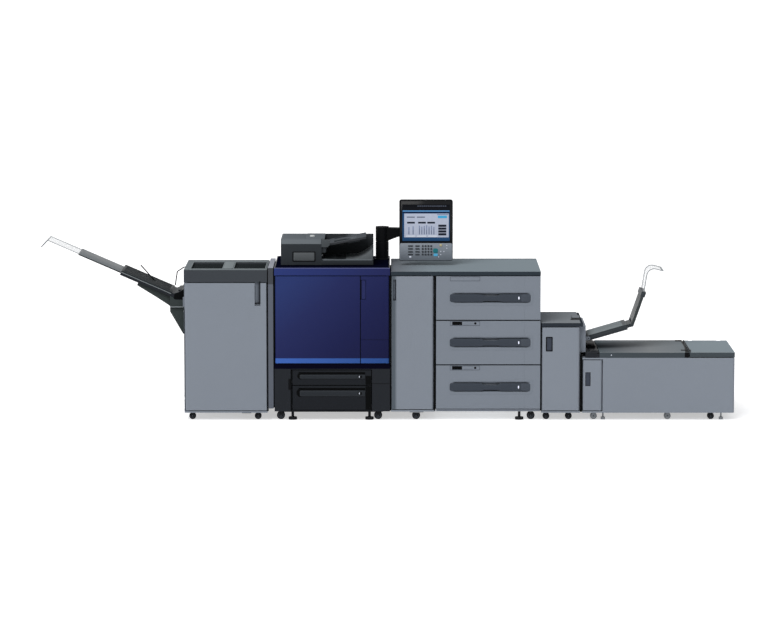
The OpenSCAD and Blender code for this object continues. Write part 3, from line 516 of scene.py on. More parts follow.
def long_lid_tones_and_painted_shade(finish, colour):
    """The long feeder's covers: painted shadow and reflection of the bypass tray darken them toward
    the left end, and the tail cover is cooler.
    """
    x, _, z = finish.axes()
    # Painted shade: the stops run from dark at the left end, under the bypass tray, to light
    # further along.
    stops = [
        (0.0, rgb(98, 107, 112)),
        (0.09, rgb(108, 114, 119)),
        (0.2, rgb(122, 126, 130)),
        (0.38, rgb(138, 142, 145)),
        (0.64, rgb(126, 133, 138)),
        (0.66, rgb(140, 151, 158)),
    ]
    along = ((x - Span("long_cover").x0 * MM) / LONG_FADE).clamp()
    top = finish.add("ShaderNodeValToRGB", {"stops": stops}, {0: along})
    return finish.mix(z.above(LONG_RIM_Z * MM, LINE_SOFT), colour, top)


def table_tones_and_painted_reflection(finish, colour):
    """The table's pale top over its dark rim, with painted shade and reflection of the operator
    panel that darken the top toward its left end.
    """
    x, _, z = finish.axes()
    # Painted shade and reflection under the operator panel: the top is darker at its left end.
    along = ((x - feed_left) * 4).clamp()
    top = finish.mix(along, rgb(114, 118, 125), rgb(135, 146, 153))
    return finish.mix(z.above(TABLE_RIM_Z * MM, LINE_SOFT), colour, top)


table_slate = coated(
    "table_slate",
    rgb(50, 58, 65),
    roughness=0.3,
    depth=0.008,
    rub=0.5,
    shine=0.0,
    shade=table_tones_and_painted_reflection,
)
long_lid = coated(
    "long_lid", rgb(70, 77, 82), roughness=0.3, rub=0.5, shine=0.0, shade=long_lid_tones_and_painted_shade
)
print("the long feeder's lids are pale above", LONG_RIM_Z, "mm")

# %% Filler, feed door and casters
FILLER_HEAD_Z, FILLER_LID_Z = 905, 1012.2


def by_unit(finish, colour):
    """Dark under the tall units and at one caster of the long feeder, and pale elsewhere."""
    x, _, _ = finish.axes()
    start, dark_from, dark_to = [(unit_x["long"] + place) * MM for place in (0, 790, 890)]
    pale = x.above(start, 0.001) * (1 - x.above(dark_from, 0.001))
    pale = (pale + x.above(dark_to, 0.001)).clamp()
    return finish.mix(pale, colour, rgb(150, 154, 158))


def filler_bands(finish, colour):
    """The filler's dark head, grey body and pale lid."""
    _, _, z = finish.axes()
    body = finish.mix(z.above(FILLER_HEAD_Z * MM, LINE_SOFT), colour, rgb(66, 69, 74))
    return finish.mix(z.above(FILLER_LID_Z * MM, LINE_SOFT), body, rgb(150, 154, 166))


def painted_shade_along(start, end, dark):
    """Gives a painted shade that goes over to a darker colour between two places along the line, in
    mm.
    """
    def shade(finish, colour):
        x, _, _ = finish.axes()
        return finish.mix(((x - start * MM) * (1 / (end - start) / MM)).clamp(), colour, dark)
    return shade


filler_paint = coated("filler_paint", rgb(92, 97, 107), shade=filler_bands)
# The feed door darkens toward its left edge as painted shade.
feed_door_paint = coated(
    "feed_door_paint",
    rgb(130, 137, 147),
    shade=painted_shade_along(unit_x["feed"] + 40, unit_x["feed"] + 24, rgb(84, 92, 100)),
)
caster_rubber = coated(
    "caster_rubber", rgb(30, 31, 34), roughness=0.55, grain=500, depth=0.12, shade=by_unit
)
print("materials so far:", len(bpy.data.materials))

# %% [markdown]
# ## A finish for every node
#
# Each CAD node already has its exact shape, so it stays and only takes a finish. The table names
# the finish of every node by what the part is, and the cell stops if one is forgotten.

# %% Finish the nodes
NODE_FINISHES = {
    cover_grey: "finisher_cabinet finisher_door feed_housing feed_side_wall feed_back relay_cabinet"
    " relay_door relay_inlet long_housing long_door",
    drawer_grey: "feed_drawer_top feed_drawer_middle feed_drawer_bottom",
    cover_dark: "document_feeder bypass_tray bypass_flap",
    tray_slate: "original_tray",
    cover_black: "output_tray engine_lower_left engine_lower_right engine_lower_shell"
    " engine_housing docking_blocks long_bridge panel_post",
    drawer_black: "engine_drawer_upper engine_drawer_lower",
    trim_black: "operator_panel panel_arm paper_arm",
    finisher_lid: "finisher_top",
    table_slate: "work_table",
    relay_lid: "relay_top",
    long_lid: "long_cover tail_cover",
    filler_paint: "filler_unit",
    feed_door_paint: "feed_door",
    blue_lacquer: "engine_main_door engine_side_door engine_top",
    navy_lacquer: "engine_sill",
    tray_grey: "tray_slide",
    clear_plate: "tray_clear_end bypass_clear_end",
    runner_dark: "drawer_runners",
    zinc: "feeder_hinges feed_floor",
    caster_rubber: "casters levelling_feet",
}
for finish, names in NODE_FINISHES.items():
    for name in names.split():
        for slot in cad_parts[name].material_slots:
            slot.material = finish
finished = {name for names in NODE_FINISHES.values() for name in names.split()}
print("nodes finished:", len(finished), "of", len(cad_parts))
assert finished == set(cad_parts)

# %% [markdown]
# ## A workshop for small parts
#
# Grips, trims and plates are cut from flat outlines, turned or bent from rod, as a model maker
# would do it. The workshop below collects such solids into one mesh. Every solid is closed, its
# edges are broken with a small bevel, and it is placed in millimetres in its unit, so a trim can
# be checked against the drawing of the unit that carries it.

# %% Outlines and tilted frames
def rounded(x0, z0, x1, z1, radius, steps=4):
    """A rectangle with round corners, as points that run anticlockwise."""
    radius = min(radius, (x1 - x0) / 2 - 0.01, (z1 - z0) / 2 - 0.01)
    centres = [(x1 - radius, z1 - radius), (x0 + radius, z1 - radius)]
    centres += [(x0 + radius, z0 + radius), (x1 - radius, z0 + radius)]
    points = []
    for corner, (x, z) in enumerate(centres):
        for step in range(steps + 1):
            angle = math.radians(90 * (corner + step / steps))
            points.append((x + radius * math.cos(angle), z + radius * math.sin(angle)))
    return points


def arc(x, z, radius, start, end, steps=10):
    """Points on a circle from one angle to another, in degrees."""
    angles = [math.radians(start + (end - start) * i / steps) for i in range(steps + 1)]
    return [(x + radius * math.cos(a), z + radius * math.sin(a)) for a in angles]


def tilted(x, y, z, degrees):
    """A frame at a place, turned about the line of depth."""
    return Matrix.Translation((x, y, z)) @ Matrix.Rotation(math.radians(degrees), 4, "Y")


print("points of a rounded plate:", len(rounded(0, 0, 10, 10, 2)))

# %% Workshop
SHARP_DEG = 32
AXES = {
    "x": lambda a, b, depth: (depth, a, b),
    "y": lambda a, b, depth: (a, depth, b),
    "z": lambda a, b, depth: (a, b, depth),
}


class Workshop:
    """Collects closed solids, in mm from a unit's left front corner, into one finished piece."""

    def __init__(self, unit=None, turn=None):
        self.mesh, self.finishes = bmesh.new(), []
        self.x, self.turn = unit_x.get(unit, 0), turn or Matrix()

    def _keep(self, faces, finish):
        """Gives faces a finish of the piece."""
        if finish not in self.finishes:
            self.finishes.append(finish)
        for face in faces:
            face.material_index = self.finishes.index(finish)

    def skin(self, rings, finish, edge=0.0, closed_ends=True, joined=False):
        """Skins a stack of rings of points and breaks the edges of its two ends."""
        loops = [[self.mesh.verts.new(self.turn @ Vector(p)) for p in ring] for ring in rings]
        faces, count = [], len(rings[0])
        pairs = list(zip(loops, loops[1:])) + ([(loops[-1], loops[0])] if joined else [])
        for lower, upper in pairs:
            for i in range(count):
                j = (i + 1) % count
                faces.append(self.mesh.faces.new((lower[i], lower[j], upper[j], upper[i])))
        caps = []
        if closed_ends:
            caps = [self.mesh.faces.new(loops[0][::-1]), self.mesh.faces.new(loops[-1])]
        faces += caps
        bmesh.ops.recalc_face_normals(self.mesh, faces=faces)
        self._keep(faces, finish)
        if edge and caps:
            rims = [line for cap in caps for line in cap.edges]
            done = bmesh.ops.bevel(
                self.mesh, geom=rims, offset=edge, segments=2, profile=0.5, affect="EDGES"
            )
            self._keep(done["faces"], finish)

    def plate(self, outline, axis, start, thick, finish, edge=0.4):
        """A flat outline given a thickness along x, y or z."""
        place = AXES[axis]
        rings = [[place(a, b, start + thick * t) for a, b in outline] for t in (0, 1)]
        self.skin(rings, finish, min(edge, abs(thick) * 0.45))

    def block(self, low, size, finish, edge=0.8, corner=1.2, axis="y"):
        """A block with round corners, seen along an axis."""
        high = [a + b for a, b in zip(low, size)]
        a, b, c = {"x": (1, 2, 0), "y": (0, 2, 1), "z": (0, 1, 2)}[axis]
        outline = rounded(low[a], low[b], high[a], high[b], corner, 3)
        self.plate(outline, axis, low[c], size[c], finish, edge)

    def frame(self, outer, inner, axis, start, thick, finish):
        """The band between two outlines with as many points, given a thickness."""
        place = AXES[axis]
        path = [(outer, 0), (outer, 1), (inner, 1), (inner, 0)]
        rings = [[place(a, b, start + thick * t) for a, b in outline] for outline, t in path]
        self.skin(rings, finish, closed_ends=False, joined=True)

    def turned(self, profile, centre, axis, finish, sides=28):
        """A profile of (radius, height) turned round an axis."""
        place, rings = AXES[axis], []
        angles = [2 * math.pi * i / sides for i in range(sides)]
        for radius, height in profile:
            ring = [place(radius * math.cos(a), radius * math.sin(a), height) for a in angles]
            rings.append([[p + c for p, c in zip(point, centre)] for point in ring])
        self.skin(rings, finish)

    def rod(self, start, end, radius, finish, sides=16, edge=0.5):
        """A round rod between two points, with broken ends."""
        self.tube([start, end], radius, finish, sides, edge)

    def tube(self, path, radius, finish, sides=12, edge=0.4):
        """A round tube along a path of points."""
        points = [Vector(p) for p in path]
        angles = [2 * math.pi * k / sides for k in range(sides)]
        rings, side = [], None
        for i, point in enumerate(points):
            ahead = (points[min(i + 1, len(points) - 1)] - points[max(i - 1, 0)]).normalized()
            side = ahead.orthogonal() if side is None else side - ahead * side.dot(ahead)
            side.normalize()
            other = ahead.cross(side)
            spokes = [side * math.cos(a) + other * math.sin(a) for a in angles]
            rings.append([point + spoke * radius for spoke in spokes])
        self.skin(rings, finish, edge)

    def done(self, name, body, slot=None):
        """Turns the solids into one object at the origin that rides on a body."""
        bmesh.ops.triangulate(self.mesh, faces=[f for f in self.mesh.faces if len(f.verts) > 4])
        for vert in self.mesh.verts:
            x, y, z = vert.co
            vert.co = ((x + self.x) * MM, y * MM + FRONT_Y, z * MM)
        mesh = bpy.data.meshes.new(name)
        self.mesh.to_mesh(mesh)
        self.mesh.free()
        for finish in self.finishes:
            mesh.materials.append(finish)
        mesh.shade_smooth()
        mesh.set_sharp_from_angle(angle=math.radians(SHARP_DEG))
        piece = bpy.data.objects.new(name, mesh)
        bpy.context.collection.objects.link(piece)
        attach(piece, body)
        print(name, "rides on", body, "with", len(mesh.polygons), "faces")
        return piece


print("sharp above", SHARP_DEG, "degrees")

# %% [markdown]
# ## Shapes that repeat
#
# Vents, keys, ribs and screws are one shape set out in rows or at marked points. Geometry Nodes
# hold the shape and the pitch as named inputs, so a row of forty louvres is one small tree. The
# first tree makes rows of chamfered bars. The second puts a socket-head screw at each vertex and
# turns each by a seeded random angle, as screws end up when they are driven home.

# %% Tools for the trees
def repeat_graph(name, inputs):
    """An empty Geometry Nodes tree with named inputs, and their wires."""
    tree = bpy.data.node_groups.new(name, "GeometryNodeTree")
    graph = Graph(tree)
    tree.interface.new_socket("Geometry", in_out="OUTPUT", socket_type="NodeSocketGeometry")
    tree.interface.new_socket("Geometry", in_out="INPUT", socket_type="NodeSocketGeometry")
    for label, kind in inputs.items():
        tree.interface.new_socket(label, in_out="INPUT", socket_type="NodeSocket" + kind)
    return graph, graph.add("NodeGroupInput")


def placed(graph, points, shape, given, turn):
    """Puts a shape on the points, facing the way that is given, as real faces with a finish."""
    sockets = {"Vector": given.other("Facing"), "Rotation": turn}
    facing = graph.add("FunctionNodeAlignRotationToVector", {"axis": "Z"}, sockets)
    sockets = {"Points": points, "Instance": shape, "Rotation": facing}
    copies = graph.add("GeometryNodeInstanceOnPoints", {}, sockets)
    real = graph.add("GeometryNodeRealizeInstances", {}, {"Geometry": copies})
    sockets = {"Geometry": real, "Material": given.other("Finish")}
    graph.add("NodeGroupOutput", {}, {0: graph.add("GeometryNodeSetMaterial", {}, sockets)})


def raised(graph, mesh, faces, height):
    """Extrudes some faces of a mesh."""
    sockets = {"Mesh": mesh, "Selection": faces, "Offset Scale": height}
    return graph.add("GeometryNodeExtrudeMesh", {}, sockets)


def scaled(graph, mesh, faces, factor):
    """Scales some faces of a mesh about their middle."""
    sockets = {"Geometry": mesh, "Selection": faces, "Scale": factor}
    return graph.add("GeometryNodeScaleElements", {}, sockets)


print("trees so far:", len(bpy.data.node_groups))

# %% A tree for rows of bars
def bars_tree():
    """Rows of chamfered bars with round corners."""
    sizes = dict.fromkeys(("Width", "Height", "Depth", "Corner"), "Float")
    counts = dict.fromkeys(("Columns", "Rows"), "Int")
    ways = dict.fromkeys(("Start", "Across", "Up", "Facing"), "Vector")
    graph, given = repeat_graph("bars", {**sizes, **counts, **ways, "Finish": "Material"})
    sockets = {"Width": given.other("Width"), "Height": given.other("Height")}
    outline = graph.add("GeometryNodeCurvePrimitiveQuadrilateral", {}, sockets)
    sockets = {"Curve": outline, "Radius": given.other("Corner"), "Limit Radius": True, "Count": 3}
    outline = graph.add("GeometryNodeFilletCurve", {"mode": "POLY"}, sockets)
    flat = graph.add("GeometryNodeFillCurve", {"mode": "NGONS"}, {"Curve": outline})
    depth, corner = given.other("Depth"), given.other("Corner")
    rise = graph.add("GeometryNodeExtrudeMesh", {}, {"Mesh": flat, "Offset Scale": depth * 0.75})
    bevel = raised(graph, rise, rise.other("Top"), depth * 0.25)
    bar = scaled(graph, bevel, bevel.other("Top"), 1 - corner * 0.5 / given.other("Width"))
    back = graph.add("GeometryNodeFlipFaces", {}, {"Mesh": flat})
    whole = graph.add("GeometryNodeJoinGeometry", {}, {"Geometry": [bar, back]})
    bar = graph.add("GeometryNodeMergeByDistance", {}, {"Geometry": whole, "Distance": 1e-5})
    sockets = {"Count": given.other("Columns"), "Start Location": given.other("Start")}
    across = graph.add("GeometryNodeMeshLine", {}, {**sockets, "Offset": given.other("Across")})
    sockets = {"Count": given.other("Rows"), "Offset": given.other("Up")}
    up = graph.add("GeometryNodeMeshLine", {}, sockets)
    grid = graph.add("GeometryNodeInstanceOnPoints", {}, {"Points": across, "Instance": up})
    grid = graph.add("GeometryNodeRealizeInstances", {}, {"Geometry": grid})
    placed(graph, grid, bar, given, (0, 0, 0))
    return graph.tree


def tree_inputs(tree):
    """The identifier of each named input of a tree."""
    return {s.name: s.identifier for s in tree.interface.items_tree if s.in_out == "INPUT"}


TREES = {"bars": bars_tree()}
print("inputs of the bars:", *tree_inputs(TREES["bars"]))

# %% A tree for screws
def screws_tree():
    """A socket-head screw at each vertex of the mesh."""
    inputs = {"Radius": "Float", "Rise": "Float", "Facing": "Vector", "Seed": "Int"}
    graph, given = repeat_graph("screws", {**inputs, "Finish": "Material"})
    radius, rise = given.other("Radius"), given.other("Rise")
    sockets = {"Vertices": 18, "Radius": radius, "Depth": rise * 2}
    head = graph.add("GeometryNodeMeshCylinder", {"fill_type": "NGON"}, sockets)
    rim = raised(graph, head, head.other("Top"), rise * 0.3)
    narrow = scaled(graph, rim, rim.other("Top"), 0.86)
    lip = raised(graph, narrow, rim.other("Top"), 0.0)
    mouth = scaled(graph, lip, lip.other("Top"), 0.55)
    screw = raised(graph, mouth, lip.other("Top"), rise * -0.9)
    points = graph.add("GeometryNodeMeshToPoints", {}, {"Mesh": given})
    spin = graph.add(
        "FunctionNodeRandomValue",
        {"data_type": "FLOAT_VECTOR"},
        {"Min": (0.0, 0.0, 0.0), "Max": (0.0, 0.0, 6.28), "Seed": given.other("Seed")},
    )
    turn = graph.add("FunctionNodeEulerToRotation", {}, {"Euler": spin})
    placed(graph, points, screw, given, turn)
    return graph.tree


TREES["screws"] = screws_tree()
print("inputs of the screws:", *tree_inputs(TREES["screws"]))

# %% Run a tree
def millimetres(unit, x, y, z):
    """A place in a unit, in metres in the shared frame."""
    return ((unit_x.get(unit, 0) + x) * MM, y * MM + FRONT_Y, z * MM)


def repeated(kind, name, body, points, finish, **sizes):
    """Runs a tree on some points and keeps its result as a plain mesh that rides on a body."""
    mesh = bpy.data.meshes.new(name)
    mesh.from_pydata(points, [], [])
    seedling = bpy.data.objects.new(name + "_points", mesh)
    bpy.context.collection.objects.link(seedling)
    modifier = seedling.modifiers.new("tree", "NODES")
    modifier.node_group = TREES[kind]
    sockets = tree_inputs(TREES[kind])
    for label, value in {**sizes, "Finish": finish}.items():
        modifier[sockets[label]] = value
    seen = seedling.evaluated_get(bpy.context.evaluated_depsgraph_get())
    made = bpy.data.meshes.new_from_object(seen)
    made.name = name
    seedling.modifiers.clear()
    bpy.data.objects.remove(seedling)
    made.shade_smooth()
    made.set_sharp_from_angle(angle=math.radians(SHARP_DEG))
    piece = bpy.data.objects.new(name, made)
    bpy.context.collection.objects.link(piece)
    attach(piece, body)
    print(name, "rides on", body, "with", len(made.polygons), "faces")
    return piece


print("the front plane in metres:", millimetres(None, 0, 0, 0)[1])

# %% Rows and screws on a side
FACES = {
    "front": (0, -1, 0),
    "back": (0, 1, 0),
    "left": (-1, 0, 0),
    "right": (1, 0, 0),
    "up": (0, 0, 1),
}
ACROSS = {
    "front": (1, 0, 0),
    "back": (-1, 0, 0),
    "left": (0, -1, 0),
    "right": (0, 1, 0),
    "up": (1, 0, 0),
}
SCREW_RISE, SCREW_SEED = 1.2, 7


def screws(name, body, unit, side, places, radius):
    """Screws at places in a unit, on the side that faces the given way."""
    points = [millimetres(unit, *place) for place in places]
    sizes = {
        "Radius": radius * MM,
        "Rise": SCREW_RISE * MM,
        "Facing": FACES[side],
        "Seed": SCREW_SEED,
    }
    return repeated("screws", name, body, points, bright_steel, **sizes)


def bars(name, body, unit, side, start, size, finish, columns=(1, 0), rows=(1, 0), corner=1.0):
    """Rows of bars: each columns and rows is a count and a pitch in mm."""
    width, height, depth = size
    if side in ("left", "right"):
        width, height = height, width
    rise = (0, 1, 0) if side == "up" else (0, 0, 1)
    sizes = {
        "Width": width * MM,
        "Height": height * MM,
        "Depth": depth * MM,
        "Corner": corner * MM,
        "Columns": columns[0],
        "Rows": rows[0],
        "Start": millimetres(unit, *start),
        "Across": tuple(a * columns[1] * MM for a in ACROSS[side]),
        "Up": tuple(r * rows[1] * MM for r in rise),
        "Facing": FACES[side],
    }
    return repeated("bars", name, body, [(0, 0, 0)], finish, **sizes)


print("sides that rows can face:", *FACES)

# %% [markdown]
# ## Grips, linings and panels
#
# Four things come back on most units. A grip is a pocket in a door with a black lip on the side
# that the fingers pull. A lining is the pressed steel sheet on the inside of a door. A service
# panel is the screwed sheet on a back, which an engineer takes off, and vents are the louvres in
# it. Each is one function here.

# %% Grips
def grip(name, body, unit, low, high, depth, back, lip=1.6, sides="rb"):
    """Lines a pocket from low (x, z) to high (x, z): a back sheet, and black lips on some sides."""
    (x0, z0), (x1, z1) = low, high
    shop = Workshop(unit)
    shop.plate(rounded(x0 + 0.5, z0 + 0.5, x1 - 0.5, z1 - 0.5, 3), "y", depth - 1.5, 1.2, back, 0.3)
    lips = {
        "l": (x0 + 0.2, z0 + 0.2, x0 + lip + 2, z1 - 0.2),
        "r": (x1 - lip - 2, z0 + 0.2, x1 - 0.2, z1 - 0.2),
        "b": (x0 + 0.2, z0 + 0.2, x1 - 0.2, z0 + lip + 2),
        "t": (x0 + 0.2, z1 - lip - 2, x1 - 0.2, z1 - 0.2),
    }
    for side in sides:
        shop.plate(rounded(*lips[side], 0.8, 2), "y", -0.6, depth - 1.2, trim_black, 0.4)
    return shop.done(name, body)


print("a grip's lips are", trim_black.name)

# %% Linings
DOOR_T, SHEET_T = 24, 1.2
lining_steel = plated("lining_steel", rgb(150, 154, 158), roughness=0.42)


def lining(name, body, unit, low, high, ribs):
    """The steel sheet inside a door, with a raised frame, ribs and screws."""
    (x0, z0), (x1, z1) = low, high
    shop, face = Workshop(unit), DOOR_T + SHEET_T
    shop.plate(rounded(x0, z0, x1, z1, 12), "y", DOOR_T + 0.1, SHEET_T, lining_steel)
    outer = rounded(x0 + 9, z0 + 9, x1 - 9, z1 - 9, 10)
    inner = rounded(x0 + 16, z0 + 16, x1 - 16, z1 - 16, 8)
    shop.frame(outer, inner, "y", face, 1.4, lining_steel)
    for i in range(ribs):
        z = z0 + (z1 - z0) * (i + 1) / (ribs + 1)
        shop.plate(rounded(x0 + 24, z - 9, x1 - 24, z + 9, 8), "y", face, 1.4, lining_steel)
    shop.done(name, body)
    heights = (z0 + 60, (z0 + z1) / 2, z1 - 60)
    places = [(x, face + 0.1, z) for x in (x0 + 5, x1 - 5) for z in heights]
    screws(name + "_screws", body, unit, "back", places, 2.6)


print("linings start", DOOR_T, "mm behind the fronts")

# %% Service panels and vents
PANEL_FACE = 1.6


def service_panel(name, unit, low, high, back_y, paint, split=None):
    """Screwed sheets on a back, split at a height if one is given."""
    (x0, z0), (x1, z1) = low, high
    cuts = [z0, *([split] if split else []), z1]
    shop, places = Workshop(unit), []
    for bottom, top in zip(cuts, cuts[1:]):
        shop.plate(rounded(x0, bottom + 1.5, x1, top - 1.5, 6), "y", back_y + 0.1, 1.5, paint, 0.6)
        for x in (x0 + 12, (x0 + x1) / 2, x1 - 12):
            places += [(x, back_y + PANEL_FACE, z) for z in (bottom + 14, top - 14)]
    shop.done(name, "line")
    screws(name + "_screws", "line", unit, "back", places, 4)


def vents(name, unit, span, start, size, columns, rows=(1, 0)):
    """Black louvres on the service panel of a unit, from a start (x, z) toward the left."""
    place = (start[0], span.y1 + PANEL_FACE, start[1])
    return bars(name, "line", unit, "back", place, size, trim_black, columns, rows)


print("vents stand", PANEL_FACE, "mm behind the backs")

# %% [markdown]
# ## The print engine
#
# The engine is the one coloured machine of the row. Its deck is near black and glossy, its doors
# are lacquered, and its lower third is a black paper drawer unit. The drawer fronts have long
# proud pull bars under a dark slot, with a small white lamp near the right end.

# %% Engine finishes
deck_black = coated("deck_black", rgb(6, 8, 26), roughness=0.3, depth=0.01, rub=0.1, shine=0.0)
band_light = coated("band_light", rgb(86, 90, 134), roughness=0.3, depth=0.01, rub=0.2)
glass_black = coated("glass_black", rgb(9, 11, 15), roughness=0.08, depth=0.0, coat=0.15, rub=0.1)
platen_white = coated("platen_white", rgb(214, 216, 216), roughness=0.5)
grip_blue = coated("grip_blue", rgb(38, 44, 90), roughness=0.3, coat=0.05, shine=0.05)
print("the engine is", round(ENGINE_W), "mm wide")

# %% Engine deck and doors
DECK_Z = 1013
PLATEN = (112, 160, 610, 466)
shop = Workshop("engine")
shop.plate(rounded(6, 8, ENGINE_W - 6, 692, 10), "z", DECK_Z + 0.1, 1.2, deck_black, 0.5)
rim = rounded(92, 140, 630, 486, 10)
shop.frame(rim, rounded(*PLATEN, 4), "z", DECK_Z + 1.2, 1.4, deck_black)
shop.plate(rounded(*PLATEN, 4), "z", DECK_Z + 1.2, 0.7, glass_black, 0.2)
shop.plate(rounded(96, 200, 108, 440, 2), "z", DECK_Z + 2.5, 0.4, platen_white, 0.1)
# A painted highlight: a pale strip along the band's top front edge.
shop.block((1, -0.6, DECK_Z - 4.8), (ENGINE_W - 2, 3.2, 5.4), band_light, 0.8, 1.4)
shop.done("engine_deck", "line")

low, high = (568.75, 804), (602.75, 934)
grip("engine_side_grip", "engine_side_door", "engine", low, high, 12, grip_blue, sides="l")
shop = Workshop("engine")
shop.plate(rounded(572, 806, 600, 932, 3), "y", 4.5, 2.0, grip_blue, 0.8)
shop.plate(rounded(569.5, 536.5, 753.5, 538.5, 0.6, 2), "y", -0.35, 0.6, navy_lacquer, 0.1)
shop.done("engine_side_trim", "engine_side_door")
lining("engine_main_lining", "engine_main_door", "engine", (34, 400), (550, 940), 3)
lining("engine_side_lining", "engine_side_door", "engine", (580, 400), (732, 940), 2)

# %% Engine drawers
bar_black = coated("bar_black", rgb(38, 42, 47), roughness=0.38, rub=0.45)
for node, bar, slot, (z0, z1) in (
    ("engine_drawer_upper", (279, 306), (306.5, 322.5), (237, 300)),
    ("engine_drawer_lower", (162, 201), (201.5, 217.5), (71.5, 231.5)),
):
    shop, bar_z = Workshop("engine"), sum(bar) / 2
    shop.plate(rounded(166, bar[0], 597, bar[1], 7), "y", -5.0, 5.4, bar_black, 1.8)
    shop.plate(rounded(171, bar[0] + 5, 540, bar[1] - 5, 4), "y", -5.6, 1.0, bar_black, 0.4)
    # Painted shade: black plates fill the slot over the bar, draw the shadow round the bar's left
    # end, and darken the channel at the right end.
    shop.plate(rounded(159, slot[0] + 0.3, 596, slot[1] - 0.3, 3), "y", 3.0, 1.2, slot_black, 0.2)
    shadow = arc(172, bar_z + 4, (bar[1] - bar[0]) / 2 + 9, 80, 280)
    shop.plate(shadow, "y", -0.5, 0.8, slot_black, 0.1)
    shop.plate(rounded(599, z0 + 2, 635.5, z1 - 2, 4), "y", -0.5, 0.8, slot_black, 0.2)
    shop.plate(rounded(556, bar_z - 6, 561, bar_z + 6, 2), "y", -6.0, 1.2, led_soft, 0.3)
    shop.plate(rounded(548, bar_z - 9, 576, bar_z + 9, 5), "y", -5.7, 0.8, trim_black, 0.2)
    shop.done(node + "_bar", node)
shop = Workshop("engine")
shop.plate(rounded(644, 244.5, 758, 247.5, 1, 2), "y", -0.2, 1.0, trim_black, 0.2)
shop.plate(rounded(92, 204, 106, 278, 3), "y", -0.2, 1.2, trim_black, 0.3)
shop.plate(rounded(44, 56, 712, 61.5, 1.5), "y", 14, 660, trim_black, 0.3)
shop.done("engine_lower_trim", "line")

# %% [markdown]
# ## The document feeder
#
# Originals lie on the sloping tray at the right, run through the head at the left, and come out in
# the well under the tray. The head's upper front edge is cut off at a slope. A block can't show
# that cut, so the whole housing is built again here from its side outline, and stands for the CAD
# node. The well keeps its dark back wall, its low front lip and the rising delivery floor.

# %% Feeder finishes
feeder = Span("document_feeder")
CROWN_Z = 1186
feeder_top = coated("feeder_top", rgb(103, 109, 114), roughness=0.42, rub=0.4, shine=0.0)
crown = topped(rgb(103, 109, 114), CROWN_Z)
feeder_dark = coated("feeder_dark", rgb(50, 54, 58), roughness=0.42, shine=0.03, shade=crown)
feeder_light = coated("feeder_light", rgb(104, 110, 115), roughness=0.4, rub=0.5, shine=0.0)
feeder_grip = coated("feeder_grip", rgb(86, 90, 93))
well_wall = coated("well_wall", rgb(50, 53, 56), roughness=0.42, shine=0.0)
well_floor = coated("well_floor", rgb(38, 41, 44))
wedge_grey = coated("wedge_grey", rgb(92, 97, 100), roughness=0.42)
cheek_grey = coated("cheek_grey", rgb(70, 75, 78), roughness=0.42)
tray_plate = coated("tray_plate", rgb(86, 90, 95), shine=0.0)
knob_white = coated("knob_white", rgb(196, 200, 200), roughness=0.3, coat=0.2)
roller_grey = coated("roller_grey", rgb(50, 52, 54), roughness=0.7, grain=300, depth=0.2)
print("materials so far:", len(bpy.data.materials))

# %% Feeder head
HEAD_X0, HEAD_X1, WELL_X1 = 41, 310, 650
HEAD_Y0, HEAD_Y1, HEAD_Z0, HEAD_Z1 = feeder.y0, 500, feeder.z0, feeder.z1
HEAD_W, WELL_W = HEAD_X1 - HEAD_X0, WELL_X1 - HEAD_X1
CUT_Z, CUT_Y = 1156, 152
WALL_T = 40
HINGE_Y, HINGE_Z = 522, 1032
PIVOT = (334, engine.z1 + 132)
shop = Workshop("engine")
head = [(HEAD_Y0, HEAD_Z0), (HEAD_Y0, CUT_Z - 3), (HEAD_Y0 + 3, CUT_Z), (CUT_Y - 2, HEAD_Z1 - 2)]
head += [(CUT_Y + 2, HEAD_Z1), (HEAD_Y1 - 3, HEAD_Z1), (HEAD_Y1, HEAD_Z1 - 3), (HEAD_Y1, HEAD_Z0)]
shop.plate(head[::-1], "x", HEAD_X0, HEAD_W, feeder_dark, 2.0)
shop.block((HEAD_X1 - 1, HEAD_Y0, HEAD_Z0), (WELL_W + 1, 374, 35.5), feeder_dark, 1.2, 1.5)
wall = (WELL_W + 2, WALL_T, HEAD_Z1 - HEAD_Z0 - 0.2)
shop.block((HEAD_X1 - 2, HEAD_Y1 - WALL_T, HEAD_Z0 - 0.2), wall, well_wall, 2, 3, "z")
for x in (96, 560):
    shop.block((x, 497, HEAD_Z0), (20, 25, 24.5), feeder_dark, 0.8, 1.0, "x")
    knuckle = [(0.01, x), (11.6, x), (11.6, x + 20), (0.01, x + 20)]
    shop.turned(knuckle, (0, HINGE_Y, HINGE_Z), "x", feeder_dark)
for y in (138.5, 439.5):
    shop.block((HEAD_X1 - 1, y, PIVOT[1] - 16), (37, 10, 26), feeder_dark, 1.0, 4)
slope = [(HEAD_Y0 + 3.2, CUT_Z + 1.2), (CUT_Y - 2.4, HEAD_Z1 - 2)]
slope += [(CUT_Y - 1.0, HEAD_Z1 - 3.4), (HEAD_Y0 + 4.6, CUT_Z - 0.2)]
slope = [(y - 0.9, z + 0.9) for y, z in slope]
shop.plate(slope, "x", HEAD_X0 + 3, HEAD_W - 6, feeder_light, 0.4)
shop.plate(rounded(HEAD_X0 + 8, 170, 204, 486, 8), "z", HEAD_Z1 - 0.2, 1.2, feeder_top, 0.5)
shop.plate(rounded(207, 158, 329, 486, 8), "z", HEAD_Z1 - 0.4, 3.0, feeder_light, 1.0)
shop.plate(rounded(311, 160, 329, 484, 4), "z", HEAD_Z1 - 7, 7.2, feeder_light, 1.0)
knob = [(0.01, 0), (17, 0), (17, 5), (15.5, 8), (12, 9.5), (0.01, 10)]
shop.turned(knob, (246, 285, HEAD_Z1 + 2.4), "z", knob_white)
outer, inner = rounded(117, 1040, 270, 1108, 6), rounded(125, 1047, 262, 1101, 4)
shop.frame(outer, inner, "y", HEAD_Y0 - 0.6, 1.2, trim_black)
shop.plate(inner, "y", HEAD_Y0 - 1.4, 2.0, feeder_grip, 0.7)
print("vertices so far:", len(shop.mesh.verts))

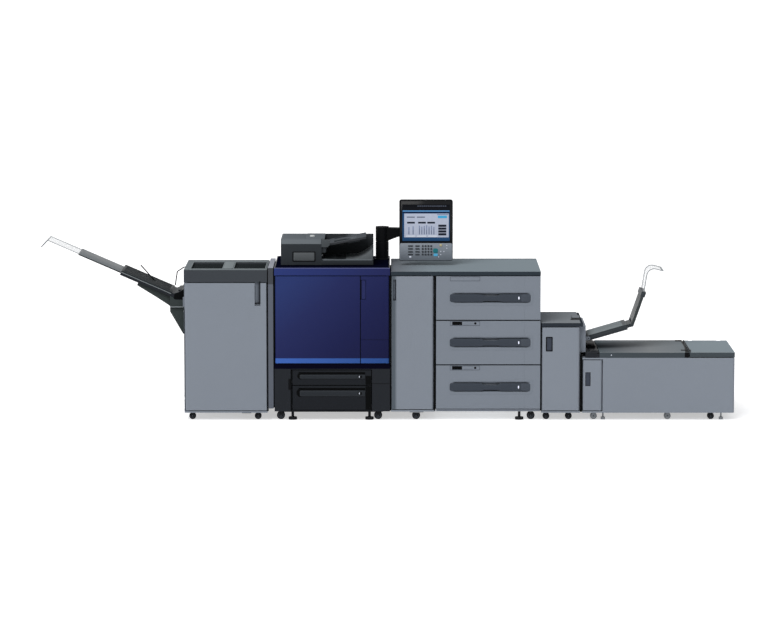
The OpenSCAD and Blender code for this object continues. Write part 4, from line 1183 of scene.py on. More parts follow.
# %% Feeder well
shop.plate(rounded(322, 1049, 640, 1054.4, 1.5, 2), "y", HEAD_Y0 - 0.5, 1.2, feeder_light, 0.4)
wedge = [(470, 1054.2), (520, 1057), (560, 1066), (600, 1086)]
wedge += [(630, 1108), (646, 1124), (646, 1053.6)]
shop.plate(wedge[::-1], "y", HEAD_Y0 + 6, 332, wedge_grey, 0.6)
cheek = [(309, 1136), (350, 1136), (363, 1150), (363, 1179), (356, 1185), (309, 1185)]
shop.plate(cheek, "y", HEAD_Y0 + 1, 15, cheek_grey, 1.2)
shop.plate(rounded(345, 126, 468, 452, 4), "z", 1054.1, 1.4, well_floor, 0.4)
shop.plate(rounded(312, 122, 648, 150, 2), "z", 1054.0, 1.5, feeder_light, 0.5)
shop.block((309, 132, 1098), (30, 300, 30), feeder_dark, 2.0, 6)
shop.plate(rounded(312, 134, 342, 430, 5), "z", 1128.1, 1.5, feeder_light, 0.5)
shop.plate(rounded(60, 140, 630, 480, 8), "z", HEAD_Z0 - 1.6, 1.8, platen_white, 0.5)
housing = shop.done("feeder_housing", "document_feeder")
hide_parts("document_feeder")

# %% Feeder rollers and ribs
shop = Workshop("engine")
for z in (1118, 1078):
    shop.rod((312, 170, z), (312, 430, z), 3.2, bright_steel)
    for y in (190, 262, 334, 406):
        profile = [(3.3, y - 12), (8.6, y - 12), (9.2, y - 9)]
        profile += [(9.2, y + 9), (8.6, y + 12), (3.3, y + 12)]
        shop.turned(profile, (312, 0, z), "y", roller_grey, 20)
shop.done("feeder_rollers", "document_feeder")
start, size = (352, 160, 1055.4), (110, 2.4, 2.2)
bars("feeder_ribs", "document_feeder", "engine", "up", start, size, feeder_dark, rows=(7, 44))

# %% Original tray and post sleeve
ORIGINAL_TILT = -10.7
POST_X, POST_Y = 708, 503
shop = Workshop("engine", tilted(PIVOT[0], 0, PIVOT[1], ORIGINAL_TILT))
shop.plate(rounded(14, 158, 270, 430, 8), "z", 5.9, 1.5, tray_plate, 0.5)
for y in (196, 386):
    shop.block((60, y, 7.2), (150, 5, 8), feeder_dark, 0.8, 3)
    shop.block((60, y - 12, 7.2), (150, 28, 2.4), feeder_dark, 0.6, 3, "z")
shop.block((96, 160, -19), (34, 268, 13.2), trim_black, 1.5, 5)
shop.block((150, 160, -15), (80, 268, 9.2), feeder_dark, 1.5, 4)
shop.done("original_guides", "original_tray")
shop = Workshop("engine")
low = DECK_Z + 1.3
sleeve = [(35.5, low), (44, low), (44, 1131), (41.5, 1134), (35.5, 1134)]
foot = [(43, low - 0.1), (50, low - 0.1), (50, 1019), (47, 1022), (43, 1022)]
for profile in (sleeve, foot):
    shop.turned(profile, (POST_X, POST_Y, 0), "z", trim_black, 40)
shop.done("post_sleeve", "line")

# %% [markdown]
# ## The operator panel
#
# The panel is a touch screen over a row of keys, on an arm that turns and tips. The picture on
# the screen is generic: a title bar, tabs, a list of trays as bars, and a column of buttons, all
# without words. The keys are caps that stand a little proud of the plate, so they catch light.

# %% Panel finishes
panel = Span("operator_panel")
PX, PZ = panel.x0 - unit_x["engine"], panel.z0
PY = panel.y0
LAYER = 0.35


def flat(shop, low, high, layer, finish, corner=2.0):
    """A thin plate on the panel's face, from low to high (x, z) measured from its lower left."""
    outline = rounded(PX + low[0], PZ + low[1], PX + high[0], PZ + high[1], corner, 3)
    shop.plate(outline, "y", PY - 0.5 - layer * LAYER, 0.5, finish, 0.08)


SCREEN = {
    "black": rgb(14, 16, 22),
    "title": rgb(22, 40, 70),
    "frame": rgb(38, 76, 118),
    "page": rgb(190, 198, 218),
    "bright": rgb(104, 168, 226),
    "grey": rgb(112, 120, 138),
    "ink": rgb(30, 36, 50),
    "cyan": rgb(74, 176, 226),
    "pale": rgb(224, 230, 242),
    "bar": rgb(140, 152, 182),
}
lit = {name: glowing("screen_" + name, colour, 0.5) for name, colour in SCREEN.items()}
key_plate = coated("key_plate", rgb(127, 134, 143), roughness=0.4)
key_dark = coated("key_dark", rgb(56, 60, 65), roughness=0.42)
key_teal = glowing("key_teal", rgb(44, 128, 138), 0.4)
key_blue = glowing("key_blue", rgb(88, 172, 212), 0.55)
key_beige = coated("key_beige", rgb(188, 178, 140), roughness=0.4)
print("the screen has", len(lit), "lit colours")

# %% Screen
shop = Workshop("engine")
flat(shop, (8, 124), (348, 399), 0, glass_black, 8)
flat(shop, (20, 340), (336, 376), 1, lit["black"], 2)
for i in range(14):
    flat(shop, (120 + 14 * i, 364), (130 + 14 * i, 368), 2, lit["grey"], 1)
flat(shop, (21, 133), (335, 337), 1, lit["frame"], 2)
flat(shop, (23, 329.5), (333, 336), 2, lit["bright"], 0.5)
flat(shop, (23, 319), (333, 329), 2, lit["title"], 0.5)
flat(shop, (33, 157), (329, 316), 2, lit["page"], 2)
for x in (49, 116):
    flat(shop, (x, 288), (x + 55, 296), 3, lit["grey"], 3)
flat(shop, (256, 285), (317, 302), 3, lit["cyan"], 3)
flat(shop, (250, 306), (326, 313), 3, lit["bar"], 2)
for x in (52, 125, 186):
    flat(shop, (x, 249), (x + 52, 261), 3, lit["ink"], 3)
for i, x in enumerate((60, 88, 130, 146, 162, 178, 194, 210, 226)):
    flat(shop, (x, 176), (x + 8, 226 + (i * 5) % 13), 3, lit["bar"], 1)
    flat(shop, (x + 2, 178), (x + 6, 196 + (i * 11) % 23), 4, lit["grey"], 1)
for z in (170, 189, 208, 227):
    flat(shop, (259, z), (313, z + 15), 3, lit["ink"], 3)
for x in (44, 118, 192):
    flat(shop, (x, 161), (x + 62, 169), 3, lit["pale"], 3)
shop.done("panel_screen", "operator_panel")

# %% Keys
def key(shop, low, high, corner, rise, finish, edge):
    """A key cap on the panel, from low to high (x, z), that rises from the plate."""
    outline = rounded(PX + low[0], PZ + low[1], PX + high[0], PZ + high[1], corner)
    shop.plate(outline, "y", PY - rise, rise - 0.5, finish, edge)


shop = Workshop("engine")
flat(shop, (3, 3), (353, 118), 0, key_plate, 11)
for x, w, zs in ((58, 34, (95, 76, 56, 38)), (106, 30, (95, 76, 56, 37))):
    for z in zs:
        key(shop, (x, z), (x + w, z + 9), 4, 3.2, key_dark, 0.8)
key(shop, (66, 22), (80, 31), 3, 2.6, led_soft, 0.5)
key(shop, (225, 53), (257, 83), 8, 4.0, key_teal, 1.0)
key(shop, (228, 31), (256, 49), 6, 3.4, key_blue, 0.8)
round_key = [(0.01, -4.2), (7, -4.2), (9, -3), (9, -0.3), (0.01, -0.3)]
shop.turned(round_key, (PX + 276, PY, PZ + 104), "y", key_beige, 24)
lamp_cap = [(0.01, -2.4), (2.6, -2.4), (3.2, -0.3), (0.01, -0.3)]
for x, z in ((316, 103), (316, 84), (276, 62), (297, 62), (276, 42), (262, 26)):
    shop.turned(lamp_cap, (PX + x, PY, PZ + z), "y", led_soft, 14)
shop.done("panel_keys", "operator_panel")
start, size = (PX + 156, PY - 0.4, PZ + 42), (13, 12, 3)
rows = (key_dark, (4, 19), (4, 19), 4)
bars("panel_number_keys", "operator_panel", "engine", "front", start, size, *rows)

# %% Back of the panel
shop = Workshop("engine")
for low, high in ((40, 150), (230, 380)):
    outline = rounded(PX + 60, PZ + low, PX + 296, PZ + high, 10)
    shop.plate(outline, "y", PY + 40, 2.0, trim_black, 0.8)
shop.done("panel_back", "operator_panel")
start, size = (PX + 250, PY + 42, PZ + 300), (3, 44, 1.2)
rows = (key_dark, (20, 8), (2, 52))
bars("panel_back_vents", "operator_panel", "engine", "back", start, size, *rows)

# %% [markdown]
# ## The finisher
#
# The finisher takes the printed sheets, and its tray climbs and sinks on the left side. Its lid
# has two dark troughs with a pale block between them. The door is pulled at a slot in its upper
# right corner, whose right and lower edges are black. On the left side are the two lift slots,
# the paper exit with its rollers, and a small grey rail.

# %% Finisher lid
finisher = Span("finisher_cabinet")
LID_Z = 1000
TROUGHS = {"left": (44, 250), "right": (326, 532)}
trough_dark = coated("trough_dark", rgb(42, 47, 49), roughness=0.6, shine=0.0)
lid_block = coated("lid_block", rgb(134, 142, 145), roughness=0.4, rub=0.5, shine=0.0)
rail_grey = coated("rail_grey", rgb(116, 122, 132), roughness=0.42)

shop = Workshop("finisher")
for x0, x1 in TROUGHS.values():
    floor_outline = rounded(x0 + 0.6, 60.6, x1 - 0.6, 439.4, 3)
    shop.plate(floor_outline, "z", LID_Z - 13.9, 1.5, trough_dark, 0.3)
    outer, inner = rounded(x0 - 5, 54, x1 + 5, 446, 6), rounded(x0 + 0.4, 60.4, x1 - 0.4, 439.6, 3)
    shop.frame(outer, inner, "z", LID_Z - 0.4, 2.6, lid_block)
shop.plate(rounded(256, 66, 320, 434, 10), "z", LID_Z + 0.1, 5.0, lid_block, 2.0)
shop.plate([(2, 40), (44, 4), (60, 4), (6, 52)], "z", LID_Z + 0.1, 3.0, lid_block, 1.0)
shop.plate(rounded(4, 541, 542, 557, 3), "z", LID_Z + 0.1, 2.5, lid_block, 0.9)
shop.done("finisher_lid_parts", "line")
for side, (x0, _) in TROUGHS.items():
    start, size = (x0 + 18, 250, LID_Z - 12.4), (3, 350, 2)
    bars("trough_ribs_" + side, "line", "finisher", "up", start, size, trough_dark, (13, 14))

# %% Finisher door
door_top = Span("finisher_door").z1
# Painted shade: the grip's back sheet darkens toward the right of the pocket.
pocket_fade = coated(
    "pocket_fade",
    rgb(120, 127, 137),
    shade=painted_shade_along(finisher.x0 + 466, finisher.x0 + 500, rgb(46, 51, 60)),
)
low, high = (465, door_top - 150), (503, door_top)
grip("finisher_grip", "finisher_door", "finisher", low, high, 14, pocket_fade, 4)
lining("finisher_lining", "finisher_door", "finisher", (34, 92), (512, 880), 4)

# %% Finisher side and back
EXIT = (134, 860, 426, 898)
ROLLER_Z = 884
SHEETS = ((12, 60, 548, 140), (445, 150, 548, 900), (12, 150, 112, 740))
shop = Workshop("finisher")
for y0 in (170, 370):
    outer, inner = rounded(y0 - 5, 185, y0 + 25, 817, 4), rounded(y0, 190, y0 + 20, 812, 2)
    shop.frame(outer, inner, "x", -1.2, 1.4, trim_black)
shop.frame(rounded(126, 852, 434, 906, 6), rounded(*EXIT, 3), "x", -2.4, 2.5, trim_black)
shop.plate(rounded(*EXIT, 3), "x", -0.5, 0.4, trough_dark, 0.1)
shop.block((-9, 40, 752), (9, 26, 62), rail_grey, 1.2, 3, "x")
for sheet in SHEETS:
    shop.plate(rounded(*sheet, 4), "x", -1.0, 1.1, cover_grey, 0.4)
shop.rod((-4, 140, ROLLER_Z), (-4, 420, ROLLER_Z), 2.4, bright_steel)
for y in (165, 225, 285, 345, 395):
    roller = [(2.5, y - 9), (6.2, y - 9), (6.8, y - 7), (6.8, y + 7), (6.2, y + 9), (2.5, y + 9)]
    shop.turned(roller, (-4, 0, ROLLER_Z), "y", roller_grey, 18)
shop.block((376, 30, 44), (62, 500, 8.5), trim_black, 1, 2)
shop.done("finisher_side", "line")
corners = [(24, 72), (536, 72), (24, 128), (536, 128), (458, 170)]
corners += [(536, 170), (458, 880), (536, 880), (24, 165), (24, 725)]
places = [(-1.1, y, z) for y, z in corners]
screws("finisher_side_screws", "line", "finisher", "left", places, 3.6)
service_panel("finisher_back", "finisher", (12, 64), (534, 896), finisher.y1, cover_grey, 470)
vents("finisher_vents", "finisher", finisher, (460, 150), (4, 70, 1.6), (26, 10))

# %% [markdown]
# ## The output tray
#
# Three stages slide in each other: a black deck on its carriage, a grey slide, and a clear end
# whose lip stops the sheets. The deck is ribbed along its length so that sheets glide, and a
# painted highlight draws a pale line where its top meets its side. The carriage hangs below as a
# dark wing and gusset, with painted highlights along their upper edges. Both lean at angles that
# only their outlines can tell, so they are cut as plates.

# %% Tray deck
TRAY_FOOT = (-85, 838)
TRAY_SLOPE = 23.5
deck_dark = coated("deck_dark", rgb(42, 46, 49), roughness=0.4, rub=0.5, shine=0.05)
wing_grey = coated("wing_grey", rgb(56, 62, 62), roughness=0.45, shine=0.05)
edge_grey = coated("edge_grey", rgb(128, 134, 137), roughness=0.4)
slope_turn = tilted(TRAY_FOOT[0], 0, TRAY_FOOT[1], TRAY_SLOPE) @ Matrix.Scale(-1, 4, (1, 0, 0))
shop = Workshop("finisher", slope_turn)
shop.plate(rounded(6, 112, 356, 448, 6), "z", 0.1, 1.6, deck_dark, 0.5)
for y in (109.2, 447.6):
    shop.block((0, y, -8), (360, 3.2, 11), deck_dark, 1.0, 2)
# A painted highlight where the deck's top meets its side.
shop.block((0, 108.2, -12), (358, 1.6, 4.4), edge_grey, 0.5, 1.2)
shop.done("tray_deck", "output_tray")

# %% Tray wing and gusset
shop = Workshop("finisher")
wing = [(-99, 744), (-8, 744), (-8, 786), (-62, 788), (-99, 812), (-296, 905), (-311, 884)]
gusset = [(-97, 735), (-7, 735), (-7, 568), (-15, 566), (-97, 706)]
for outline, depths in ((wing, (137.6, 420.6)), (gusset, (127.6, 430.6))):
    for y in depths:
        shop.plate(outline, "y", y, 1.8, wing_grey, 0.7)
# A painted highlight along the top of the gusset.
shop.block((-98, 109.0, 738), (91, 3, 6.4), edge_grey, 0.8, 1.5)
near = [(-98, 746), (-7.5, 746), (-7.5, 787), (-64, 789), (-80, 806), (-98, 816)]
shop.plate(near, "y", 109.6, 1.6, wing_grey, 0.6)
# Painted shade: a black sheet in the hollow between the tray's foot and the cabinet.
mouth = [(-74, 793), (-8, 791), (-8, 856), (-36, 839), (-69, 827)]
shop.plate(mouth, "y", 110.0, 1.2, slot_black, 0.2)
# A painted highlight along the wing's upper edge.
shop.plate([(-99, 812), (-294, 904), (-296, 908), (-99, 817)], "y", 136.6, 3.0, edge_grey, 0.5)
shop.block((-46, 160, 842), (34, 240, 8), deck_dark, 1.2, 3, "z")
shop.rod((-206, 300, 889), (-301, 300, 996.8), 3.8, slot_black, 14)
shop.done("tray_wing", "output_tray")
shop = Workshop("finisher")
shop.tube([(-14.5, 300, 984), (-59.5, 300, 954), (-73.2, 300, 864)], 3.8, slot_black, 14)
shop.done("arm_sleeve", "line")

# %% Tray ribs and slide
shop = Workshop("finisher", slope_turn)
for i in range(9):
    shop.block((20, 140 + 35 * i, 1.4), (326, 3, 2.2), deck_dark, 0.5, 1.0)
shop.done("tray_ribs", "output_tray")
shop = Workshop("finisher", slope_turn)
shop.plate(rounded(368, 144, 660, 416, 6), "z", -9.6, 0.8, tray_grey, 0.3)
for y in (139.8, 417.2):
    shop.block((366, y, -21), (298, 3, 6.6), trim_black, 0.8, 1.5)
shop.block((366, 139.8, -21.2), (298, 280.4, 1.4), trim_black, 0.5, 1.0)
shop.done("slide_trim", "tray_slide")

# %% Frosted edges of the tray's clear end
TIP_TURN = 69.5
frost = coated("frost", rgb(164, 168, 171), roughness=0.6)
# The tip's edges take a darker copy of the frost: painted shade on the bent tip.
frost_dark = coated("frost_dark", rgb(132, 136, 139), roughness=0.6)
shop = Workshop("finisher", slope_turn)
for y in (157.8, 399.2):
    shop.block((666, y, -17.7), (220, 3, 5.4), frost, 0.6, 2.0)
shop.done("clear_end_edges", "tray_clear_end")
shop = Workshop("finisher", slope_turn @ tilted(887, 0, -15, TIP_TURN))
for y in (156.6, 400.4):
    shop.block((0, y, -3.6), (62, 3, 7.2), frost_dark, 0.6, 2.0)
shop.block((56, 159, -3.4), (6.4, 242, 6.8), frost_dark, 0.6, 2.0)
shop.done("clear_end_tip", "tray_clear_end")

# %% [markdown]
# ## The paper feed cabinet
#
# Three drawers hold the paper. Each has a dark pull bar with a narrow waist, and the front is
# scooped softly round it so that fingers reach behind. A scoop is a loft: the round-cornered
# outline of the pocket at the face, shrunk and pushed back in steps, each steeper than the last.
# The upper edge carries a label frame, and the two lower drawers a dark window and a sensor.

# %% Scoops
SCOOP_X0, SCOOP_X1, SCOOP_H = 385, 930, 92
SCOOP_DEPTH = 14
SCOOP_PROFILE = (
    (-0.3, -5, 15),
    (-0.3, 3, 22),
    (0.6, 8, 26),
    (2.6, 12.5, 26),
    (7, 16.5, 25),
    (13, 19, 24),
    (19, 20, 23),
)


def painted_depth_shade(depth, dark):
    """Gives a painted shade that darkens as a wall goes back from the front plane, in mm."""
    def shade(finish, colour):
        _, y, _ = finish.axes()
        return finish.mix(((y - FRONT_Y) * (1 / depth / MM)).clamp(), colour, dark)
    return shade


# Painted shade: the scoop's walls darken with depth.
wall_painted_shade = painted_depth_shade(SCOOP_DEPTH, rgb(88, 94, 104))
scoop_grey = coated("scoop_grey", rgb(122, 129, 139), roughness=0.5, shade=wall_painted_shade)
scoop_deep = coated("scoop_deep", rgb(122, 129, 139), roughness=0.5)


def scoop(shop, x0, x1, z, finish):
    """Soft walls from the pocket's mouth to its narrower back, as a closed shell."""
    rings, half = [], SCOOP_H / 2
    for depth, inset, corner in SCOOP_PROFILE:
        low, high = z - half + inset, z + half - inset
        outline = rounded(x0 + inset, low, x1 - inset, high, corner, 6)
        rings.append([(x, depth, h) for x, h in outline])
    back = [[(x, y + (1.2 if y > 0 else 0.28), h) for x, y, h in ring] for ring in rings[::-1]]
    shop.skin(rings + back, finish, closed_ends=False, joined=True)


print("a scoop goes in", SCOOP_PROFILE[-1][0], "mm in", len(SCOOP_PROFILE), "rings")

# %% Pull bars
BAR_X0, BAR_X1 = 386, 917
BAR_H, BAR_ROUND = 52, 12
WAIST_TOP, WAIST_LOW = 12, 6
bar_slate = coated("bar_slate", rgb(58, 64, 73), roughness=0.36, rub=0.5)
bar_end = coated("bar_end", rgb(69, 75, 84), roughness=0.36)


def pull_bar(shop, x0, x1, z):
    """The waisted pull bar, with its lamp and its duller right end."""
    bend, top, low = BAR_ROUND, z + BAR_H / 2, z - BAR_H / 2
    outline = arc(x1 - bend, top - bend, bend, 0, 90, 5)
    outline += [(730, top), (718, top - 2), (692, top - WAIST_TOP), (616, top - WAIST_TOP)]
    outline += [(596, top - 2), (584, top)]
    outline += arc(x0 + bend, top - bend, bend, 90, 180, 5)
    outline += arc(x0 + bend, low + bend, bend, 180, 270, 5)
    outline += [(592, low), (618, low + WAIST_LOW), (702, low + WAIST_LOW), (728, low)]
    outline += arc(x1 - bend, low + bend, bend, 270, 360, 5)
    shop.plate(outline, "y", -2.2, 15.6, bar_slate, 2.4)
    shop.plate(rounded(836, z - 9, 843, z + 9, 3), "y", -3.2, 1.4, led_white, 0.4)
    shop.plate(rounded(856, z - 26, 915, z + 26, 10), "y", -2.9, 1.2, bar_end, 0.5)


print("the pull bars are", BAR_X1 - BAR_X0, "mm long")

# %% Drawer fronts
drawers = {name: Span("feed_drawer_" + name) for name in ("bottom", "middle", "top")}
for name, drawer in drawers.items():
    middle, top, node = (drawer.z0 + drawer.z1) / 2, drawer.z1, "feed_drawer_" + name
    shop = Workshop("feed")
    scoop(shop, SCOOP_X0, SCOOP_X1, middle, scoop_grey)
    pull_bar(shop, BAR_X0, BAR_X1, middle)
    shop.plate(rounded(386, middle - 45, 929, middle + 45, 20), "y", 28.6, 1.2, scoop_deep, 0.3)
    outer = rounded(388, top - 31, 584, top - 2, 2)
    shop.frame(outer, rounded(390, top - 29, 582, top - 4, 1.5), "y", -0.8, 1.2, handle_slate)
    if name != "top":
        shop.plate(rounded(402, top - 27, 467, top - 5, 2), "y", -1.0, 1.2, slot_black, 0.3)
        sensor = [(0.01, -1.6), (6, -1.6), (7.5, -0.8), (7.5, 0.2), (0.01, 0.2)]
        shop.turned(sensor, (554, 0, top - 16), "y", trim_black, 22)
        shop.plate(rounded(472, top - 26, 538, top - 7, 2), "y", -0.7, 0.9, scoop_grey, 0.2)
    for low, high in ((drawer.z0 + 4, middle - 51), (middle + 51, top - 4)):
        shop.plate(rounded(876, low, 878, high, 0.8, 2), "y", -0.25, 0.5, scoop_grey, 0.1)
    shop.done(node + "_front", node)

# %% Feed cabinet door, strip and rail
feed = Span("work_table")
table_rim = coated("table_rim", rgb(78, 88, 92), roughness=0.35, shine=0.04)
hub_pale = coated("hub_pale", rgb(176, 180, 184), roughness=0.4)
# Painted shade: the feed grip's back sheet darkens toward the right of the pocket.
pocket_fade_feed = coated(
    "pocket_fade_feed",
    rgb(104, 111, 121),
    shade=painted_shade_along(feed.x0 + 16, feed.x0 + 32, rgb(66, 72, 82)),
)
grip("feed_grip", "feed_door", "feed", (13.5, 798), (33.5, 936), 14, pocket_fade_feed, 2.5, "rb")
lining("feed_lining", "feed_door", "feed", (30, 100), (252, 930), 4)
shop = Workshop("feed")
# Painted shade: black plates in the gap beside the door and in the gaps between the drawers.
shop.plate(rounded(282, 66, 291.5, 962, 1), "y", 4.0, 1.2, slot_black, 0.2)
for z in (drawers["bottom"].z1, drawers["middle"].z1):
    shop.plate(rounded(298, z + 1.5, 980, z + 6.5, 1), "y", 6.0, 1.2, slot_black, 0.2)
shop.plate(rounded(1.5, 720, 981, 738.5, 4), "z", feed.z1, 2.2, table_rim, 0.8)
shop.plate(rounded(298, 61, 982, 78, 1.5), "y", 6.5, 1.4, rail_grey, 0.4)
shop.block((122, 28, 49), (92, 84, 10.6), hub_pale, 1.0, 3)
shop.done("feed_trim", "line")
service_panel("feed_service", "feed", (10, 70), (973, 952), feed.y1, cover_grey, 520)
vents("feed_vents", "feed", feed, (880, 180), (4, 80, 1.6), (40, 10), (2, 100))

# %% [markdown]
# ## The relay cabinet and its bypass tray
#
# The relay cabinet passes sheets on from the long feeder, and takes single sheets from the bypass
# tray at its right. The tray is a pale-topped deck with a dark side. A knuckle joins it to a
# flap, and the flap carries a clear bent end.

# %% Relay cabinet
relay = Span("relay_cabinet")
RELAY_LID_Z = 649
shop, hollow = Workshop("relay"), rounded(34, 466, 67, 551, 3)
shop.frame(rounded(28, 460, 73, 557, 4), hollow, "y", -0.8, 6.0, trim_black)
shop.plate(hollow, "y", 3.6, 2.0, handle_slate, 0.6)
shop.done("relay_grip", "relay_door")
lining("relay_lining", "relay_door", "relay", (32, 92), (224, 592), 3)
shop = Workshop("relay")
shadow = [(196, 150), (262, 150), (262, 330), (216, 330)]
shop.plate(shadow, "z", RELAY_LID_Z + 0.1, 1.0, trim_black, 0.3)
shop.plate(rounded(212, 240, 262, 330, 4), "z", RELAY_LID_Z + 0.6, 9.0, relay_lid, 2.0)
shop.plate(rounded(4, 536, 252, 556, 3), "z", RELAY_LID_Z, 2.0, relay_lid, 0.7)
shop.plate(rounded(256, 500, 270, 610, 2), "x", 257, 0.8, trim_black, 0.2)
shop.plate(rounded(256.5, 625, 272, 648, 2), "y", 2, 540, relay_lid, 1.0)
shop.done("relay_trim", "line")
service_panel("relay_back", "relay", (8, 62), (248, 612), relay.y1, cover_grey, 330)
vents("relay_vents", "relay", relay, (210, 120), (4, 60, 1.6), (16, 10))

# %% Bypass tray
deck_pale = coated("deck_pale", rgb(131, 138, 141), roughness=0.38, rub=0.5, shine=0.0)
flap_edge = coated("flap_edge", rgb(56, 61, 62), roughness=0.4)
BYPASS_TILT, FLAP_TILT = -16.2, -71
bypass_turn = tilted(317, 150, 528, BYPASS_TILT)
shop = Workshop("relay", bypass_turn)
shop.plate(rounded(4, 3, 264, 251, 8), "z", 16.9, 2.0, deck_pale, 0.8)
shop.block((2, -1.4, -14), (262, 1.8, 24), cover_dark, 0.6, 4)
for y in (52, 198):
    shop.block((60, y, 17), (170, 4, 3.6), deck_pale, 0.6, 1.5)
for i in range(5):
    shop.block((20, 24 + 50 * i, 18), (60, 3, 1.8), deck_pale, 0.4, 0.8)
shop.plate(rounded(240, 8, 262, 246, 4), "z", 18.4, 1.4, cover_dark, 0.5)
shop.done("bypass_guides", "bypass_tray")

# %% Bypass flap
flap_axis = bypass_turn @ Vector((300, 0, 0))
shop = Workshop("relay", tilted(*flap_axis, FLAP_TILT))
for z, finish in ((8.4, flap_edge), (-9.6, cover_dark)):
    shop.plate(rounded(28, 4, 198, 250, 6), "z", z, 1.2, finish, 0.5)
for y in (-1.2, 251.4):
    shop.block((14, y, -7), (184, 3.6, 14), flap_edge, 1.0, 3)
shop.block((203, -1.2, -12), (32, 256.4, 24), cover_dark, 1.6, 4)
shop.done("flap_trim", "bypass_flap")

# %% Frosted edges of the bypass tray's clear end
def ribbon(path, half):
    """The outline of a band that follows a path of points, half its width to each side."""
    left, right = [], []
    for i, point in enumerate(path):
        ahead = Vector(path[min(i + 1, len(path) - 1)]) - Vector(path[max(i - 1, 0)])
        side = Vector((-ahead.y, ahead.x)).normalized() * half
        left.append(tuple(Vector(point) + side))
        right.append(tuple(Vector(point) - side))
    return left + right[::-1]


def toward(start, angle, length):
    """The point a length away from another, at an angle above the horizontal."""
    turn = math.radians(angle)
    return start[0] + length * math.cos(turn), start[1] + length * math.sin(turn)


STEM_ANGLE, BEND_R, TIP_ANGLE = 81, 49, -15
root = toward((flap_axis.x, flap_axis.z), -FLAP_TILT, 240)
stem = toward(root, STEM_ANGLE, 109)
bend = toward(stem, STEM_ANGLE - 90, BEND_R)
curve = [toward(bend, STEM_ANGLE + 90 - 12 * i, BEND_R) for i in range(9)]
clear_path = [root, *curve, toward(curve[-1], TIP_ANGLE, 49)]
shop = Workshop("relay")
for y in (165.4, 385.6):
    shop.plate(ribbon(clear_path, 3.4), "y", y, 3.0, frost, 0.5)
hook = [toward(curve[-1], TIP_ANGLE, length) for length in (40, 50.5)]
shop.plate(ribbon(hook, 3.6), "y", 167, 220, frost, 0.5)
shop.done("bypass_clear_edges", "bypass_flap")

# %% [markdown]
# ## The long feeder
#
# A pallet of long sheets lies under the two lids. The lids are slate, darkened toward the left end
# by painted shade, with a dark front band; a painted highlight draws a pale line along the band's
# upper edge, and a black seam parts the two. The left end keeps a black bridge for the sheets, and
# the front shows a small lamp. The front is otherwise one bare panel.

# %% Long feeder's bridge, lid and seam
long = Span("long_housing")
LONG_LID_Z = 453
shop = Workshop("long")
shop.block((30, 4, 417.5), (80, 226, 35), cover_black, 2, 4)
shop.block((38, 235, 417.5), (58, 255, 52), trim_black, 3, 6)
shop.block((96, 2, 417.5), (15, 590, 34), trim_black, 1.2, 3)
# A painted highlight along the upper edge of the front band.
shop.plate(rounded(114, 3, 676, 9, 2), "z", LONG_LID_Z, 0.8, edge_grey, 0.3)
shop.plate(rounded(186, 432, 193, 439, 3), "y", -0.8, 1.0, led_soft, 0.3)
seam = [(676, 4), (700, 4), (700, 596), (690, 596), (690, 240), (682, 120)]
shop.plate(seam, "z", LONG_LID_Z, 1.0, trim_black, 0.3)
shop.block((672, -0.8, 418), (28, 8, 34.6), trim_black, 0.6, 2)
shop.block((652, 540, LONG_LID_Z), (46, 34, 5), trim_black, 1.2, 3)
shop.block((654, 90, LONG_LID_Z), (44, 22, 4), trim_black, 1.2, 3)
shop.done("long_trim", "line")

# %% Long feeder's door
grip("long_grip", "long_door", "long", (19.5, 230), (53.5, 321), 14, handle_slate, 0.6, "lrbt")
shop = Workshop("long")
shop.plate(rounded(21, 231.5, 52, 319.5, 3), "y", 2.0, 6.0, handle_slate, 1.6)
shop.done("long_grip_paddle", "long_door")
lining("long_lining", "long_door", "long", (30, 90), (106, 380), 2)

# %% Tail cover, back and end
shop = Workshop("long")
# A painted highlight along the upper edge of the tail cover's front band.
shop.plate(rounded(718, 3, 999, 9, 2), "z", LONG_LID_Z, 0.8, edge_grey, 0.3)
shop.block((707, 3, 452.8), (9, 590, 1.4), trim_black, 0.4, 1.5, "z")
shop.block((708, 92, LONG_LID_Z), (14, 18, 3.6), trim_black, 0.8, 3)
shop.done("tail_trim", "tail_cover")
service_panel("long_back", "long", (10, 62), (992, 408), long.y1, cover_grey)
vents("long_vents", "long", long, (930, 140), (4, 60, 1.6), (24, 10), (2, 80))
shop = Workshop("long")
shop.plate(rounded(40, 66, 560, 404, 6), "x", 1001.6, 1.2, cover_grey, 0.5)
shop.done("long_end", "line")
places = [(1002.8, y, z) for y in (54, 300, 546) for z in (80, 390)]
screws("long_end_screws", "line", "long", "right", places, 3.6)
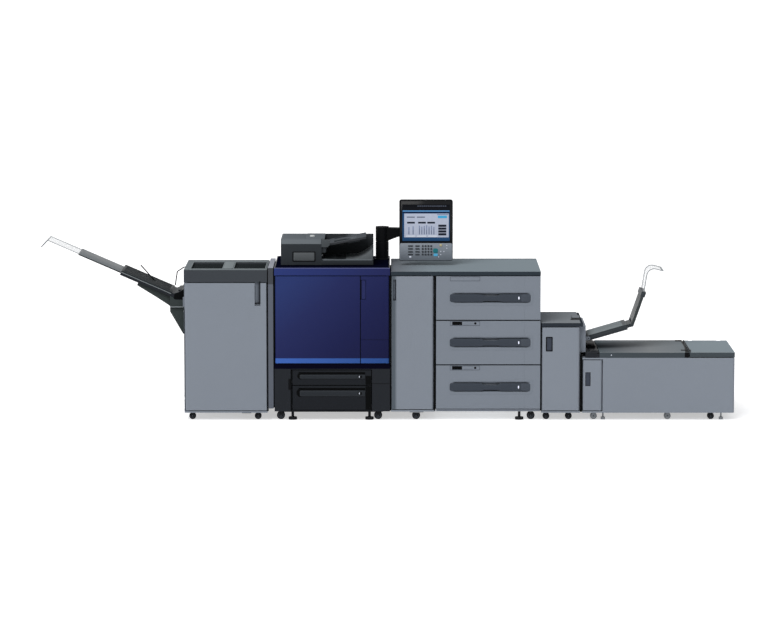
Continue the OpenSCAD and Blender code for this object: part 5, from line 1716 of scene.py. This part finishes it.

# %% [markdown]
# ## Painted shade in the gaps, engine back and undersides
#
# Docking blocks hold neighbouring units 7 to 14 mm apart. A black strip in each gap is painted
# shade: it draws the thin dark line between units.
# The engine's back has the exhaust grilles and the plain cover of the power inlet.

# %% Painted shade in the gaps
shop = Workshop()
gap_shades = [
    (finisher.x1, unit_x["filler"], 60, 996),
    (Span("filler_unit").x1, unit_x["engine"], 84, 1008),
    (engine.x1, unit_x["feed"], 64, 985),
    (feed.x1, unit_x["relay"], 64, 645),
    (relay.x1, unit_x["long"], 56, 440),
]
# Each gap gets two black strips, near the front and in the middle, as painted shade.
for left, right, low, high in gap_shades:
    size = (right - left + 0.8, 10, high - low)
    for y in (14, 400):
        shop.block((left - 0.4, y, low), size, slot_black, 0.3, 0.6, "z")
shop.done("gap_shade_strips", "line")

# %% Engine back
service_panel("engine_back", "engine", (14, 352), (746, 1004), engine.y1, cover_dark, 700)
service_panel("engine_lower_back", "engine", (14, 68), (746, 338), engine.y1, cover_black)
vents("engine_vents", "engine", engine, (700, 560), (4, 90, 2), (30, 10), (2, 110))
vents("engine_fan_vents", "engine", engine, (330, 800), (110, 4, 2), (2, 130), (12, 10))
shop, hollow = Workshop("engine"), rounded(46, 98, 114, 134, 3)
shop.frame(rounded(40, 92, 120, 140, 4), hollow, "y", engine.y1 + 1.4, 4, trim_black)
shop.plate(hollow, "y", engine.y1 + 1.5, 1.5, trough_dark, 0.4)
shop.done("power_inlet", "line")

# %% Caster hubs
hub_grey = coated("hub_grey", rgb(66, 70, 76), roughness=0.4)
axle_grey = coated("axle_grey", rgb(84, 88, 94), roughness=0.4)
CASTERS = {
    "finisher": (finisher, (49, 482), 22.5),
    "engine": (engine, (40, 682), 27),
    "feed": (feed, (166, 923), 26.5),
    "relay": (relay, (34, 182), 22.5),
    "long": (long, (78, 566, 852), 22.5),
}
INSET, PALE_UP_TO = 70, 800
BORE_R, RIM = 5.2, 7
HUB_FACE, HUB_RISE = 11.0, 0.9
AXLE = ((0.01, 15.8), (4.6, 15.8), (3.6, 17.4), (0.01, 17.6))


def caster_hubs(shop, centre, radius, hub):
    """The hub rings and axle ends on both sides of a wheel."""
    for out in (-1, 1):
        face, top = out * HUB_FACE, out * (HUB_FACE + HUB_RISE)
        ring = [(BORE_R, face), (radius - RIM, face), (radius - RIM - 1, top), (BORE_R, top)]
        shop.turned(ring[::-out], centre, "y", hub, 26)
        shop.turned([(r, out * y) for r, y in AXLE], centre, "y", axle_grey, 16)


shop = Workshop()
for unit, (span, places, radius) in CASTERS.items():
    for x in places:
        hub = hub_pale if unit == "long" and x < PALE_UP_TO else hub_grey
        for y in (INSET, span.y1 - INSET):
            caster_hubs(shop, (unit_x[unit] + x, y, radius), radius, hub)
shop.done("caster_hubs", "line")
